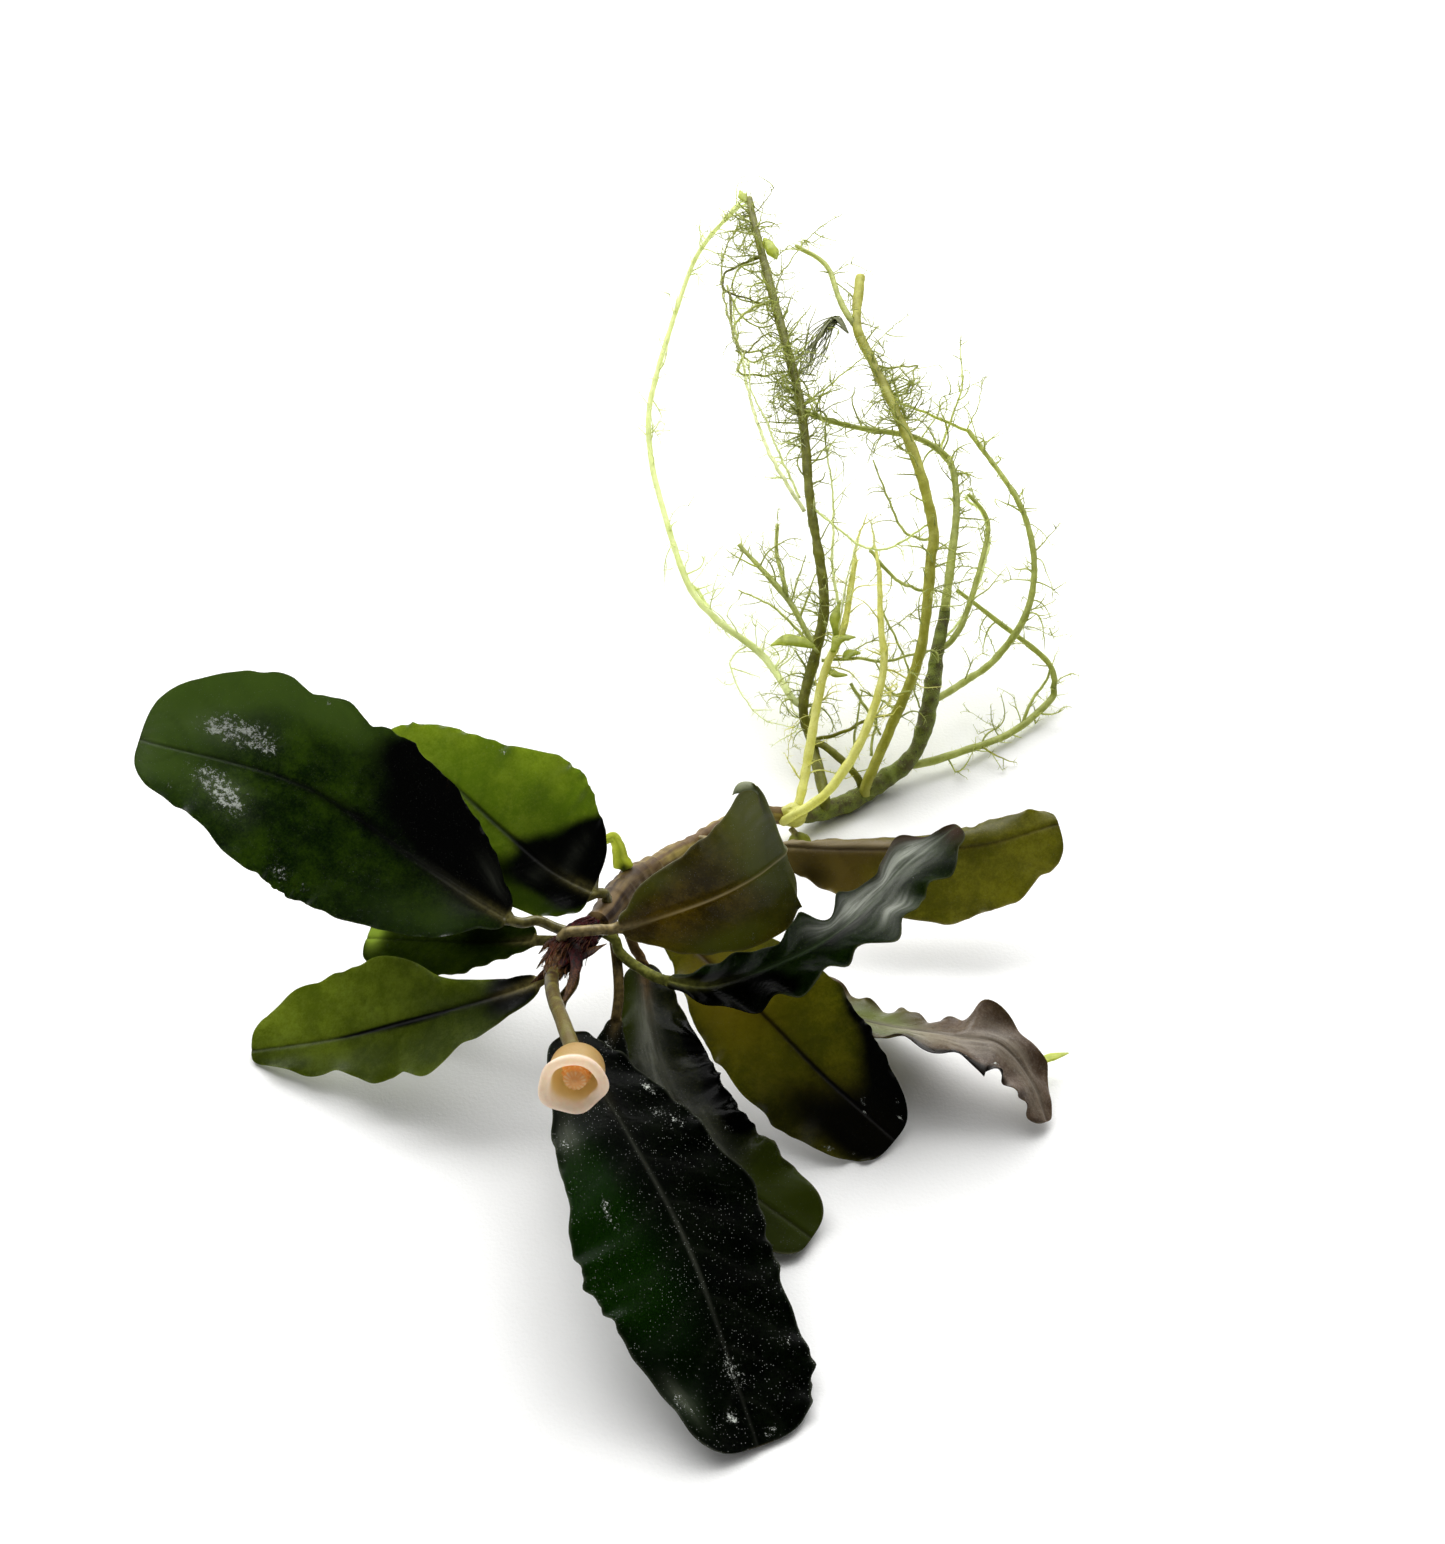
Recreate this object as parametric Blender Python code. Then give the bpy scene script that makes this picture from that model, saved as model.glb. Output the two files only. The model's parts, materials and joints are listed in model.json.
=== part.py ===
"""A bucephalandra plant with bare roots, lying on a flat surface.

Lengths are in millimetres until a point is placed, when they become metres. The plan's zero is in the middle
of the old rhizome, +X is to the right, +Y runs from the leaves to the roots, and +Z is up from the surface.
"""
import math

import bpy
import bmesh
import numpy as np

MM = 0.001
UP = np.array((0.0, 0.0, 1.0))

# The middle of the plant's box, on the surface. It becomes the origin.
MIDDLE = np.array((-37.0, -0.5, 0.0))

# Points per span when a smooth curve is drawn through the points below.
PER_SPAN = 30

# Leaves
BLADE_THICKNESS = 0.6
STALK_RADIUS = 0.75
RIB_TAPER = 0.7
BLADE_ROWS = 15
STALK_ROWS = 3
ACROSS = (-1.0, -0.5, 0.0, 0.5, 1.0)

# Stems and roots: the space between points along them, and Blender's bevel resolution.
STEM_STEP = 3.2
STEM_SIDES = 2
ROOT_STEP = 5.5
ROOT_SIDES = 1
FEWEST_POINTS = 5

# Each leaf has a stalk and a midrib, as points, and stations along the blade. A station is its place from
# 0 at the blade's base to 1 at its tip, the left and right half widths, the roll about the midrib in
# degrees, and how many degrees the left and right halves curve up. Left and right are seen from the stalk,
# from above. Blunt has the powers that round the base and the tip: the smaller, the blunter.
LEAVES = {
    "leaf_upper_left": dict(
        stalk=[(-47.2, -44.4, 21.3), (-50, -43.8, 22.3)],
        midrib=[(-54, -44.5, 23.5), (-66, -38.5, 28), (-83.5, -29.5, 35), (-106, -25.5, 40)],
        stations=[(0.08, 6, 5, 38, 8, 8), (0.2, 10, 9.5, 38, 12, 12), (0.38, 13, 13, 38, 12, 12),
                  (0.58, 14.5, 13.5, 36, 10, 14), (0.75, 12.5, 13, 34, 10, 14),
                  (0.9, 8, 10.5, 34, 10, 14)],
        blunt=(0.85, 0.6), finish="leaf_dark_green"),
    "leaf_upper_left_behind": dict(
        stalk=[(-40.8, -38.4, 21.9)],
        midrib=[(-42.5, -38.8, 22.8), (-48.8, -35.8, 24.5), (-56, -30, 27), (-65, -22, 29.5),
                (-74, -17.5, 31)],
        stations=[(0.1, 4, 7, 30, 8, 8), (0.35, 9, 12, 30, 8, 8), (0.7, 11, 7, 30, 8, 8),
                  (0.9, 7, 5, 30, 8, 8)],
        blunt=(0.75, 0.6), finish="leaf_bright_green"),
    "leaf_left": dict(
        stalk=[(-48, -51, 20.2)],
        midrib=[(-49.6, -52.2, 19), (-58, -52.5, 15), (-71, -51.5, 8.5), (-79, -51, 5),
                (-92.4, -50.2, 0.9)],
        stations=[(0.1, 3, 1.5, 15, 10, 10), (0.25, 6, 3.5, 18, 10, 10), (0.45, 8, 8.5, 20, 6, 10),
                  (0.65, 6, 9.5, 20, 6, 10), (0.85, 3.8, 7.5, 20, 6, 10), (0.95, 2.2, 4.5, 20, 6, 10)],
        blunt=(1.0, 0.55), finish="leaf_light_olive"),
    "leaf_left_behind": dict(
        stalk=[(-47, -43.8, 18)],
        midrib=[(-50.8, -43, 17), (-59.2, -39.7, 12.5), (-67.4, -36.3, 9), (-77, -33.3, 6)],
        stations=[(0.12, 2, 3, 10, 8, 8), (0.5, 6, 8, 10, 8, 8), (0.85, 5, 6, 10, 8, 8)],
        blunt=(0.9, 0.6), finish="leaf_dark_green"),
    "leaf_centre": dict(
        stalk=[(-45.6, -48.4, 25), (-43.3, -48.8, 25.8), (-41, -48, 25.2)],
        midrib=[(-38.2, -46.5, 24), (-26.5, -46.4, 29.5), (-20.3, -45.5, 33), (-15.9, -43, 35.5),
                (-16.6, -38.5, 32), (-20, -33, 23)],
        stations=[(0.08, 3.5, 3.5, 100, 10, 10), (0.25, 8.5, 7.5, 105, 10, 10),
                  (0.43, 12.5, 8.5, 105, 6, 6),
                  (0.55, 12.5, 8.5, 105, 6, 6), (0.9, 7, 7, 105, 10, 10)],
        blunt=(0.8, 0.6), finish="leaf_underside_olive"),
    "leaf_right_twisted": dict(
        stalk=[(-39.2, -44.6, 19), (-38.6, -45.6, 17.6), (-36, -47.5, 16.5)],
        midrib=[(-31.5, -50.5, 17), (-24.5, -51.6, 17.5), (-11, -48.7, 21), (-0.5, -40, 24.5),
                (10, -34.5, 28)],
        stations=[(0.08, 2.5, 4.5, 5, 15, 15), (0.25, 6.5, 8.5, 8, 20, 20), (0.42, 6.5, 7, 10, 20, 20),
                  (0.6, 4.5, 5.5, 15, 20, 20), (0.8, 4.5, 5.5, 15, 20, 20), (0.93, 4, 4, 20, 20, 20)],
        blunt=(0.8, 0.6), finish="leaf_dark_green"),
    "leaf_right_behind": dict(
        stalk=[(-26.4, -17.6, 11), (-21, -20.8, 12.6)],
        midrib=[(-15.3, -21.5, 13.5), (-5, -22.5, 14), (13.3, -22.5, 14.7), (26.5, -19.5, 16.5)],
        stations=[(0.1, 1, 4, -40, -60, 5), (0.4, 3, 9.5, -45, -110, 5), (0.7, 4, 10, -45, -80, 5),
                  (0.9, 3.2, 6.5, -40, -30, 5)],
        blunt=(0.8, 0.6), finish="leaf_light_olive"),
    "leaf_lower_right": dict(
        stalk=[(-36.2, -36.2, 16), (-34, -38.5, 16)],
        midrib=[(-31.3, -40, 16), (-19, -51.5, 12), (-9.5, -59.3, 6.5), (0.2, -66, 1.1)],
        stations=[(0.08, 4.5, 3, -20, 8, 8), (0.35, 9.5, 8.3, -16, 8, 8), (0.65, 9.5, 9.8, -20, 8, 8),
                  (0.9, 6, 7, -20, 8, 8)],
        blunt=(0.7, 0.6), finish="leaf_light_olive"),
    "leaf_front": dict(
        stalk=[(-44.6, -53, 19.8), (-46.2, -57, 19.8)],
        midrib=[(-45, -61.5, 19), (-36.3, -76, 16), (-28, -90, 9.5), (-19.5, -112, 0.7)],
        stations=[(0.08, 4, 5, 8, 8, 8), (0.3, 8.5, 11, 10, 10, 10), (0.48, 11, 15, 10, 14, 12),
                  (0.7, 9.5, 13, 10, 10, 10), (0.88, 10, 9, 8, 10, 10)],
        blunt=(0.8, 0.55), finish="leaf_dark_green"),
    "leaf_front_right": dict(
        stalk=[(-38, -37.2, 13.5), (-36.7, -40, 11.5)],
        midrib=[(-35.6, -41.8, 10), (-33.3, -56.5, 8.3), (-28.5, -68.6, 7.5), (-22.5, -75.4, 5),
                (-12, -82, 1)],
        stations=[(0.08, 3, 3, 0, 8, 8), (0.3, 6, 6, 0, 8, 8), (0.6, 7, 7, -10, 8, 8),
                  (0.85, 7, 6, -5, 8, 8)],
        blunt=(0.8, 0.6), finish="leaf_dark_green"),
    "leaf_front_right_small": dict(
        stalk=[(-39.6, -42, 17), (-38.6, -49.7, 15)],
        midrib=[(-38.9, -54.6, 13.5), (-39.5, -59.5, 12.2), (-39.5, -66, 10.6), (-38, -73, 9)],
        stations=[(0.1, 2.5, 2.5, 0, 8, 8), (0.5, 2.5, 5, 0, 8, 8), (0.9, 2, 3, 0, 8, 8)],
        blunt=(0.8, 0.6), finish="leaf_dark_green"),
    "leaf_right_purple": dict(
        stalk=[(-34.8, -29.6, 11.6), (-25, -34.5, 9)],
        midrib=[(-12.7, -40.2, 6.5), (-5.4, -46.7, 4.6), (8.4, -52.7, 7.5), (15.3, -54.3, 7.5),
                (19.6, -58.4, 4.3),
                (21.7, -63, 1.2)],
        stations=[(0.1, 3, 3, 15, 8, 8), (0.3, 5, 5, 28, 8, 8), (0.5, 4.5, 5.5, 28, 8, 8),
                  (0.7, 4.5, 5, 0, 8, 8),
                  (0.88, 2.2, 3.5, 20, 8, 8)],
        blunt=(0.8, 0.8), finish="leaf_purple"),
}

# Tubes are points along the middle and the radius at each end and in between, spread evenly.
STEMS = {
    "old_rhizome": dict(
        line=[(-12, -4.8, 3.1), (-8.3, -2.9, 1.8), (-4.2, -0.8, 1.53), (-0.4, 2.1, 1.6),
              (3.3, 4.8, 2.4), (5.4, 5.8, 3.3)],
        radii=(1.3, 1.5, 1.5, 1.5, 1.4), finish="rhizome_green"),
    "old_rhizome_branch": dict(
        line=[(6.2, 6.4, 3.8), (8.3, 9.4, 6), (10, 14.7, 10), (11.4, 21.4, 15), (12.8, 27.6, 18.6)],
        radii=(1.4, 1.4, 1.2, 1.0), finish="rhizome_green"),
    "young_rhizome": dict(
        line=[(-13.8, -5.8, 3.9), (-20.5, -8.6, 7), (-27.5, -16.2, 9.5), (-34.8, -26, 13.3),
              (-38, -32, 16.4),
              (-40.5, -38.9, 18.7), (-41.8, -42, 19.7)],
        radii=(1.5, 1.2, 1.2, 1.6, 1.8, 1.8), finish="rhizome_brown"),
    "crown_sheath": dict(
        line=[(-42.3, -43.2, 20.1), (-44, -46, 21), (-45.7, -49.3, 22), (-46.9, -52.6, 22.9)],
        radii=(1.8, 2.3, 2.1, 1.3), finish="sheath_wine"),
    "flower_stalk": dict(
        line=[(-47, -53.3, 23.3), (-47, -57.7, 26), (-46, -65, 31.5), (-44, -73.5, 36.6),
              (-42.5, -78.9, 38.8)],
        radii=(0.95, 0.95, 1.0), finish="flower_stalk"),
}

# Main roots, from the rhizome outwards.
ROOTS = {
    "root_yellow_left": dict(
        line=[(-11.9, -4.9, 5.5), (-10.8, 0.4, 7), (-8.5, 12.3, 12), (-6.9, 17.9, 15), (-4, 24.1, 18),
              (-1.9, 36, 22)],
        radii=(0.8, 0.7, 0.45), finish="root_yellow"),
    "root_yellow_right": dict(
        line=[(-13.4, -8.2, 6.2), (-7.4, -3.9, 7.5), (-1.8, 4.2, 11), (2, 14.7, 16), (1.9, 23, 19),
              (2, 33.2, 22)],
        radii=(0.8, 0.7, 0.4), finish="root_yellow"),
    "root_brown": dict(
        line=[(-0.6, 1.2, 4.3), (3.4, 8.8, 10), (8, 17.3, 18), (10, 29.9, 27), (10.5, 35.3, 30),
              (7.5, 47.9, 36),
              (1.5, 67.9, 40), (-0.7, 75.2, 42), (0.3, 87.6, 44)],
        radii=(0.85, 0.9, 0.9, 0.8, 0.9), finish="root_brown"),
    "root_brown_branch": dict(
        line=[(-2.5, 77.7, 42.7), (-3.6, 82.5, 43), (-5.6, 91.6, 44), (-10.8, 96.3, 45)],
        radii=(0.6, 0.5, 0.4), finish="root_brown"),
    "root_dark": dict(
        line=[(-7.6, -1.8, 4.2), (-9.5, 9.4, 6), (-10.8, 13.7, 10), (-8.4, 22.1, 15),
              (-7.2, 29.4, 20), (-9.3, 44.2, 28),
              (-10.6, 61.2, 35), (-14.4, 81.2, 41), (-17.9, 101, 45), (-19.1, 110.8, 46)],
        radii=(0.9, 0.9, 0.8, 0.8, 0.6), finish="root_brown"),
    "root_pale": dict(
        line=[(-12.3, 14.8, 10), (-17.4, 25.7, 10), (-25.1, 32.6, 12), (-30.1, 40.2, 14),
              (-34.8, 57.1, 18),
              (-36.9, 68.2, 21), (-36.7, 79.6, 25), (-30.9, 102.9, 33), (-27.1, 109.2, 38),
              (-20.8, 112.2, 44)],
        radii=(0.6, 0.6, 0.5, 0.5, 0.4), finish="root_yellow"),
    "root_right_loop": dict(
        line=[(8.8, 7.2, 2.6), (14.6, 9.9, 2.5), (24.1, 15.7, 1.5), (31.2, 22.4, 2.6), (31.9, 24.2, 4.2)],
        radii=(0.7, 0.6, 0.55), finish="root_green"),
    "root_right_loop_end": dict(
        line=[(32, 25.3, 5.2), (30.4, 28.3, 7), (23, 32.7, 11), (15.5, 35.4, 16)],
        radii=(0.5, 0.45, 0.35), finish="root_green"),
    "root_right": dict(
        line=[(12.2, 16.6, 9), (17, 21.9, 8), (22.1, 26.7, 8.5), (27.2, 32.7, 13), (28.9, 40.9, 18),
              (26.6, 50.7, 23),
              (18.8, 64.2, 28)],
        radii=(0.6, 0.6, 0.5, 0.4), finish="root_green"),
    "root_top_right": dict(
        line=[(13, 28.6, 20), (15.2, 43, 26), (15, 52, 29), (12.5, 54.7, 31), (7.8, 57, 32),
              (-1.7, 59, 32.5), (-8, 60, 33)],
        radii=(0.8, 0.6, 0.5, 0.4), finish="root_green"),
    "root_arc_right": dict(
        line=[(13.8, 22.4, 16.3), (16.4, 27.5, 18), (20.4, 40.3, 23), (20.3, 44.3, 25), (17.6, 47.4, 27)],
        radii=(0.5, 0.45, 0.35), finish="root_green"),
    "root_fork": dict(
        line=[(-10, 24, 16), (-13.4, 31.2, 18), (-21.2, 42.5, 20)],
        radii=(0.5, 0.5, 0.35), finish="root_green"),
    "root_fork_tip": dict(
        line=[(-13.8, 33.6, 19.6), (-14.9, 39, 21), (-14.7, 45.4, 22)],
        radii=(0.4, 0.3), finish="root_green"),
    "root_cross": dict(
        line=[(-8, 7.4, 7.6), (-4.9, 5, 6.2), (-2.4, 3, 4.6)],
        radii=(0.6, 0.6), finish="root_brown"),
}

# Small straps of leaf: a bent leaflet at the crown and a bract at the node.
STRAPS = {
    "crown_leaflet": dict(
        stalk=[(-38.3, -31.2, 19)],
        midrib=[(-38.4, -30.2, 20), (-39, -28.4, 21.6), (-40.1, -28.3, 22.2), (-41.4, -28.8, 21.8)],
        stations=[(0.1, 0.3, 0.3, 0, 5, 5), (0.5, 0.6, 0.6, 0, 5, 5), (0.9, 0.4, 0.4, 0, 5, 5)],
        blunt=(0.8, 0.7), stalk_radius=0.4, finish="leaflet_lime"),
    "node_bract": dict(
        stalk=[(-13.2, -8.6, 4)],
        midrib=[(-12.6, -9.4, 3.6), (-11.8, -11, 2.6), (-11.4, -12.6, 1.2)],
        stations=[(0.1, 0.9, 0.9, 0, 10, 10), (0.6, 1.7, 1.7, 0, 10, 10), (0.9, 1, 1, 0, 10, 10)],
        blunt=(0.8, 0.6), stalk_radius=0.5, finish="leaflet_lime"),
}

# Flower: a cup round a club. The rim has one pointed lip, low on the left as one looks into the cup.
FLOWER_RIM = np.array((-41.8, -86.3, 41.3))
FLOWER_FACING = np.array((-0.05, -0.94, 0.34))
CUP_LENGTH = 6.4
CUP_FLOOR = 0.8
CUP_WALL = 0.5
CUP_LIP = 2.2
CUP_LIP_DEGREES = 205
CUP_SIDES = 14
SPADIX_LENGTH = 4.4
SPADIX_RADIUS = 1.3
SPADIX_SIDES = 8
SPADIX_GAP = 0.5

# Shares of the length, from the base, and the radius there.
CUP_PROFILE = ((0.0, 1.1), (0.12, 2.1), (0.35, 3.2), (0.65, 3.5), (1.0, 3.9))

# Shares of the length, from the base, and shares of the radius there.
SPADIX_PROFILE = ((0.0, 0.7), (0.2, 1.0), (0.55, 1.0), (0.85, 0.75), (1.0, 0.3))

# Colours are red, green and blue, then the roughness.
FINISHES = {
    "leaf_dark_green": ((0.020, 0.045, 0.010), 0.25),
    "leaf_bright_green": ((0.080, 0.160, 0.020), 0.3),
    "leaf_light_olive": ((0.110, 0.130, 0.030), 0.3),
    "leaf_underside_olive": ((0.090, 0.080, 0.030), 0.4),
    "leaf_purple": ((0.110, 0.070, 0.060), 0.35),
    "leaflet_lime": ((0.350, 0.480, 0.040), 0.4),
    "rhizome_green": ((0.130, 0.150, 0.050), 0.6),
    "rhizome_brown": ((0.160, 0.090, 0.060), 0.5),
    "sheath_wine": ((0.120, 0.025, 0.035), 0.4),
    "flower_stalk": ((0.300, 0.230, 0.110), 0.4),
    "flower_cup": ((0.750, 0.550, 0.420), 0.4),
    "spadix_orange": ((0.650, 0.280, 0.120), 0.5),
    "root_yellow": ((0.550, 0.560, 0.200), 0.5),
    "root_brown": ((0.180, 0.130, 0.050), 0.6),
    "root_green": ((0.260, 0.300, 0.110), 0.6),
}


def clear_scene():
    for thing in list(bpy.data.objects):
        bpy.data.objects.remove(thing, do_unlink=True)


def place(point):
    """A point of the plan, in metres from the origin."""
    return tuple((np.asarray(point, float) - MIDDLE) * MM)


def make_finish(name):
    colour, roughness = FINISHES[name]
    material = bpy.data.materials.get(name) or bpy.data.materials.new(name)
    material.use_nodes = True
    shader = material.node_tree.nodes["Principled BSDF"]
    shader.inputs["Base Color"].default_value = (*colour, 1.0)
    shader.inputs["Roughness"].default_value = roughness
    shader.inputs["Metallic"].default_value = 0.0
    return material


def smooth_curve(points):
    """Many points on a smooth curve that passes through the given ones."""
    p = np.array(points, float)
    p = np.vstack((2 * p[0] - p[1], p, 2 * p[-1] - p[-2]))
    t = np.linspace(0, 1, PER_SPAN, endpoint=False)[:, None]
    spans = []
    for a, b, c, d in zip(p[:-3], p[1:-2], p[2:-1], p[3:]):
        spans.append(b + 0.5 * t * (c - a + t * (2 * a - 5 * b + 4 * c - d + t * (3 * (b - c) + d - a))))
    return np.vstack((*spans, p[-2]))


def run_along(curve):
    """The length from the curve's start to each of its points."""
    steps = np.linalg.norm(np.diff(curve, axis=0), axis=1)
    return np.concatenate(((0.0,), np.cumsum(steps)))


def read_curve(curve, lengths):
    run = run_along(curve)
    return np.column_stack([np.interp(lengths, run, curve[:, axis]) for axis in range(3)])


def eased(stations, at, column):
    """One column of the stations, read smoothly at places between them and held level beyond them."""
    places = np.array([station[0] for station in stations], float)
    values = np.array([station[column] for station in stations], float)
    slopes = np.gradient(values, places)
    at = np.clip(at, places[0], places[-1])
    i = np.clip(np.searchsorted(places, at, side="right") - 1, 0, len(places) - 2)
    span = places[i + 1] - places[i]
    t = (at - places[i]) / span
    rise = values[i + 1] - values[i]
    start, end = slopes[i] * span, slopes[i + 1] * span
    return values[i] + t * (start + t * (3 * rise - 2 * start - end + t * (start + end - 2 * rise)))


def opening(at, blunt):
    """How far a blade has opened at a place along it: 0 at both ends and 1 in the middle."""
    arch = 2 * np.sqrt(np.clip(at * (1 - at), 0, 0.25))
    return arch ** blunt[0] * (1 - at) + arch ** blunt[1] * at


def leaf_rings(leaf):
    """Rings from the stalk's foot to the blade's tip: the upper side from left to right, then back below."""
    curve = smooth_curve(leaf["stalk"] + leaf["midrib"])
    run = run_along(curve)
    base = run[PER_SPAN * len(leaf["stalk"])]
    blade_length = run[-1] - base
    turn = np.linspace(0.06 * math.pi, 0.985 * math.pi, BLADE_ROWS)
    on_stalk = np.linspace(0, base, STALK_ROWS, endpoint=False)
    on_blade = base + blade_length * (1 - np.cos(turn)) / 2
    lengths = np.concatenate((on_stalk, on_blade))
    at = np.clip((lengths - base) / blade_length, 0, 1)
    middle = read_curve(curve, lengths)
    ahead = np.gradient(middle, lengths, axis=0)
    ahead /= np.linalg.norm(ahead, axis=1)[:, None]
    level = np.cross(ahead, UP)
    level /= np.linalg.norm(level, axis=1)[:, None]
    above = np.cross(level, ahead)

    stations, blunt = leaf["stations"], leaf["blunt"]
    full = [(s[0], s[1] / opening(s[0], blunt), s[2] / opening(s[0], blunt)) for s in stations]
    roll = np.radians(eased(stations, at, 3))[:, None]
    across = level * np.cos(roll) + above * np.sin(roll)
    normal = above * np.cos(roll) - level * np.sin(roll)
    open_share = opening(at, blunt)
    rib = leaf.get("stalk_radius", STALK_RADIUS) * (1 - RIB_TAPER * at)
    flat = np.clip(open_share * 4, 0, 1)

    upper, lower = [], []
    for u in ACROSS:
        half = 1 if u < 0 else 2
        width = rib + eased(full, at, half) * open_share
        cup = np.radians(eased(stations, at, half + 3)) + 1e-4
        out = np.sign(u) * width / cup * np.sin(cup * abs(u))
        rise = width / cup * (1 - np.cos(cup * abs(u)))
        round_half = rib * math.sqrt(1 - 0.95 * u * u)
        blade_half = BLADE_THICKNESS / 2 + (rib if u == 0 else 0)
        half_thickness = round_half * (1 - flat) + blade_half * flat
        sheet = middle + across * out[:, None] + normal * rise[:, None]
        upper.append(sheet + normal * half_thickness[:, None])
        lower.append(sheet - normal * half_thickness[:, None])
    return np.stack(upper + lower[::-1], axis=1)


def skin(name, rings, finish):
    """A closed mesh through rings of points, with a cap on the first and the last."""
    mesh = bpy.data.meshes.new(name)
    bm = bmesh.new()
    rows = [[bm.verts.new(place(point)) for point in ring] for ring in rings]
    for near, far in zip(rows, rows[1:]):
        for k in range(len(near)):
            after = (k + 1) % len(near)
            bm.faces.new((near[k], near[after], far[after], far[k]))
    bm.faces.new(rows[0])
    bm.faces.new(rows[-1])
    bmesh.ops.triangulate(bm, faces=bm.faces[:], quad_method="SHORT_EDGE")
    bmesh.ops.recalc_face_normals(bm, faces=bm.faces[:])
    bm.to_mesh(mesh)
    bm.free()
    mesh.shade_smooth()
    mesh.materials.append(make_finish(finish))
    bpy.context.scene.collection.objects.link(bpy.data.objects.new(name, mesh))


def make_tube(name, line, radii, finish, step, sides):
    """A round tapered tube: a curve with a bevel and filled caps."""
    smooth = smooth_curve(line)
    total = run_along(smooth)[-1]
    count = max(FEWEST_POINTS, round(total / step))
    at = np.linspace(0, 1, count)
    points = read_curve(smooth, at * total)
    radius = np.interp(at, np.linspace(0, 1, len(radii)), radii)
    curve = bpy.data.curves.new(name, "CURVE")
    curve.dimensions = "3D"
    curve.bevel_depth = MM
    curve.bevel_resolution = sides
    curve.use_fill_caps = True
    spline = curve.splines.new("POLY")
    spline.points.add(count - 1)
    for spot, point, r in zip(spline.points, points, radius):
        spot.co = (*place(point), 1.0)
        spot.radius = r
    curve.materials.append(make_finish(finish))
    bpy.context.scene.collection.objects.link(bpy.data.objects.new(name, curve))


def flower_axes():
    """The way the cup opens, its right and its top."""
    forward = FLOWER_FACING / np.linalg.norm(FLOWER_FACING)
    right = np.cross(UP, forward)
    right /= np.linalg.norm(right)
    return forward, right, np.cross(forward, right)


def make_cup():
    """The spathe: an open cup with one pointed lip, low on the left."""
    forward, right, top = flower_axes()
    base = FLOWER_RIM - forward * CUP_LENGTH
    angles = np.linspace(0, 2 * math.pi, CUP_SIDES, endpoint=False)
    outward = right * np.cos(angles)[:, None] + top * np.sin(angles)[:, None]
    pointed = np.clip(np.cos(angles - math.radians(CUP_LIP_DEGREES)), 0, 1) ** 5

    def ring(share, radius, lip):
        out = radius + 0.5 * lip * pointed
        along = share * CUP_LENGTH + 0.4 * lip * pointed
        return base + forward * along[:, None] + outward * out[:, None]

    rings = [ring(share, radius, CUP_LIP if share == 1.0 else 0.0) for share, radius in CUP_PROFILE]
    for share, radius in reversed(CUP_PROFILE[1:]):
        rings.append(ring(share, radius - CUP_WALL, CUP_LIP if share == 1.0 else 0.0))
    skin("flower_cup", rings, "flower_cup")


def make_spadix():
    """The flower's club, standing in the cup."""
    forward, right, top = flower_axes()
    base = FLOWER_RIM - forward * (CUP_LENGTH - CUP_FLOOR - SPADIX_GAP)
    angles = np.linspace(0, 2 * math.pi, SPADIX_SIDES, endpoint=False)
    rings = []
    for share, size in SPADIX_PROFILE:
        out = (right * np.cos(angles)[:, None] + top * np.sin(angles)[:, None]) * SPADIX_RADIUS * size
        rings.append(base + forward * share * SPADIX_LENGTH + out)
    skin("spadix", rings, "spadix_orange")


def main():
    clear_scene()
    for name, leaf in {**LEAVES, **STRAPS}.items():
        skin(name, leaf_rings(leaf), leaf["finish"])
    for name, stem in STEMS.items():
        make_tube(name, stem["line"], stem["radii"], stem["finish"], STEM_STEP, STEM_SIDES)
    for name, root in ROOTS.items():
        make_tube(name, root["line"], root["radii"], root["finish"], ROOT_STEP, ROOT_SIDES)
    make_cup()
    make_spadix()


main()
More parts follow.
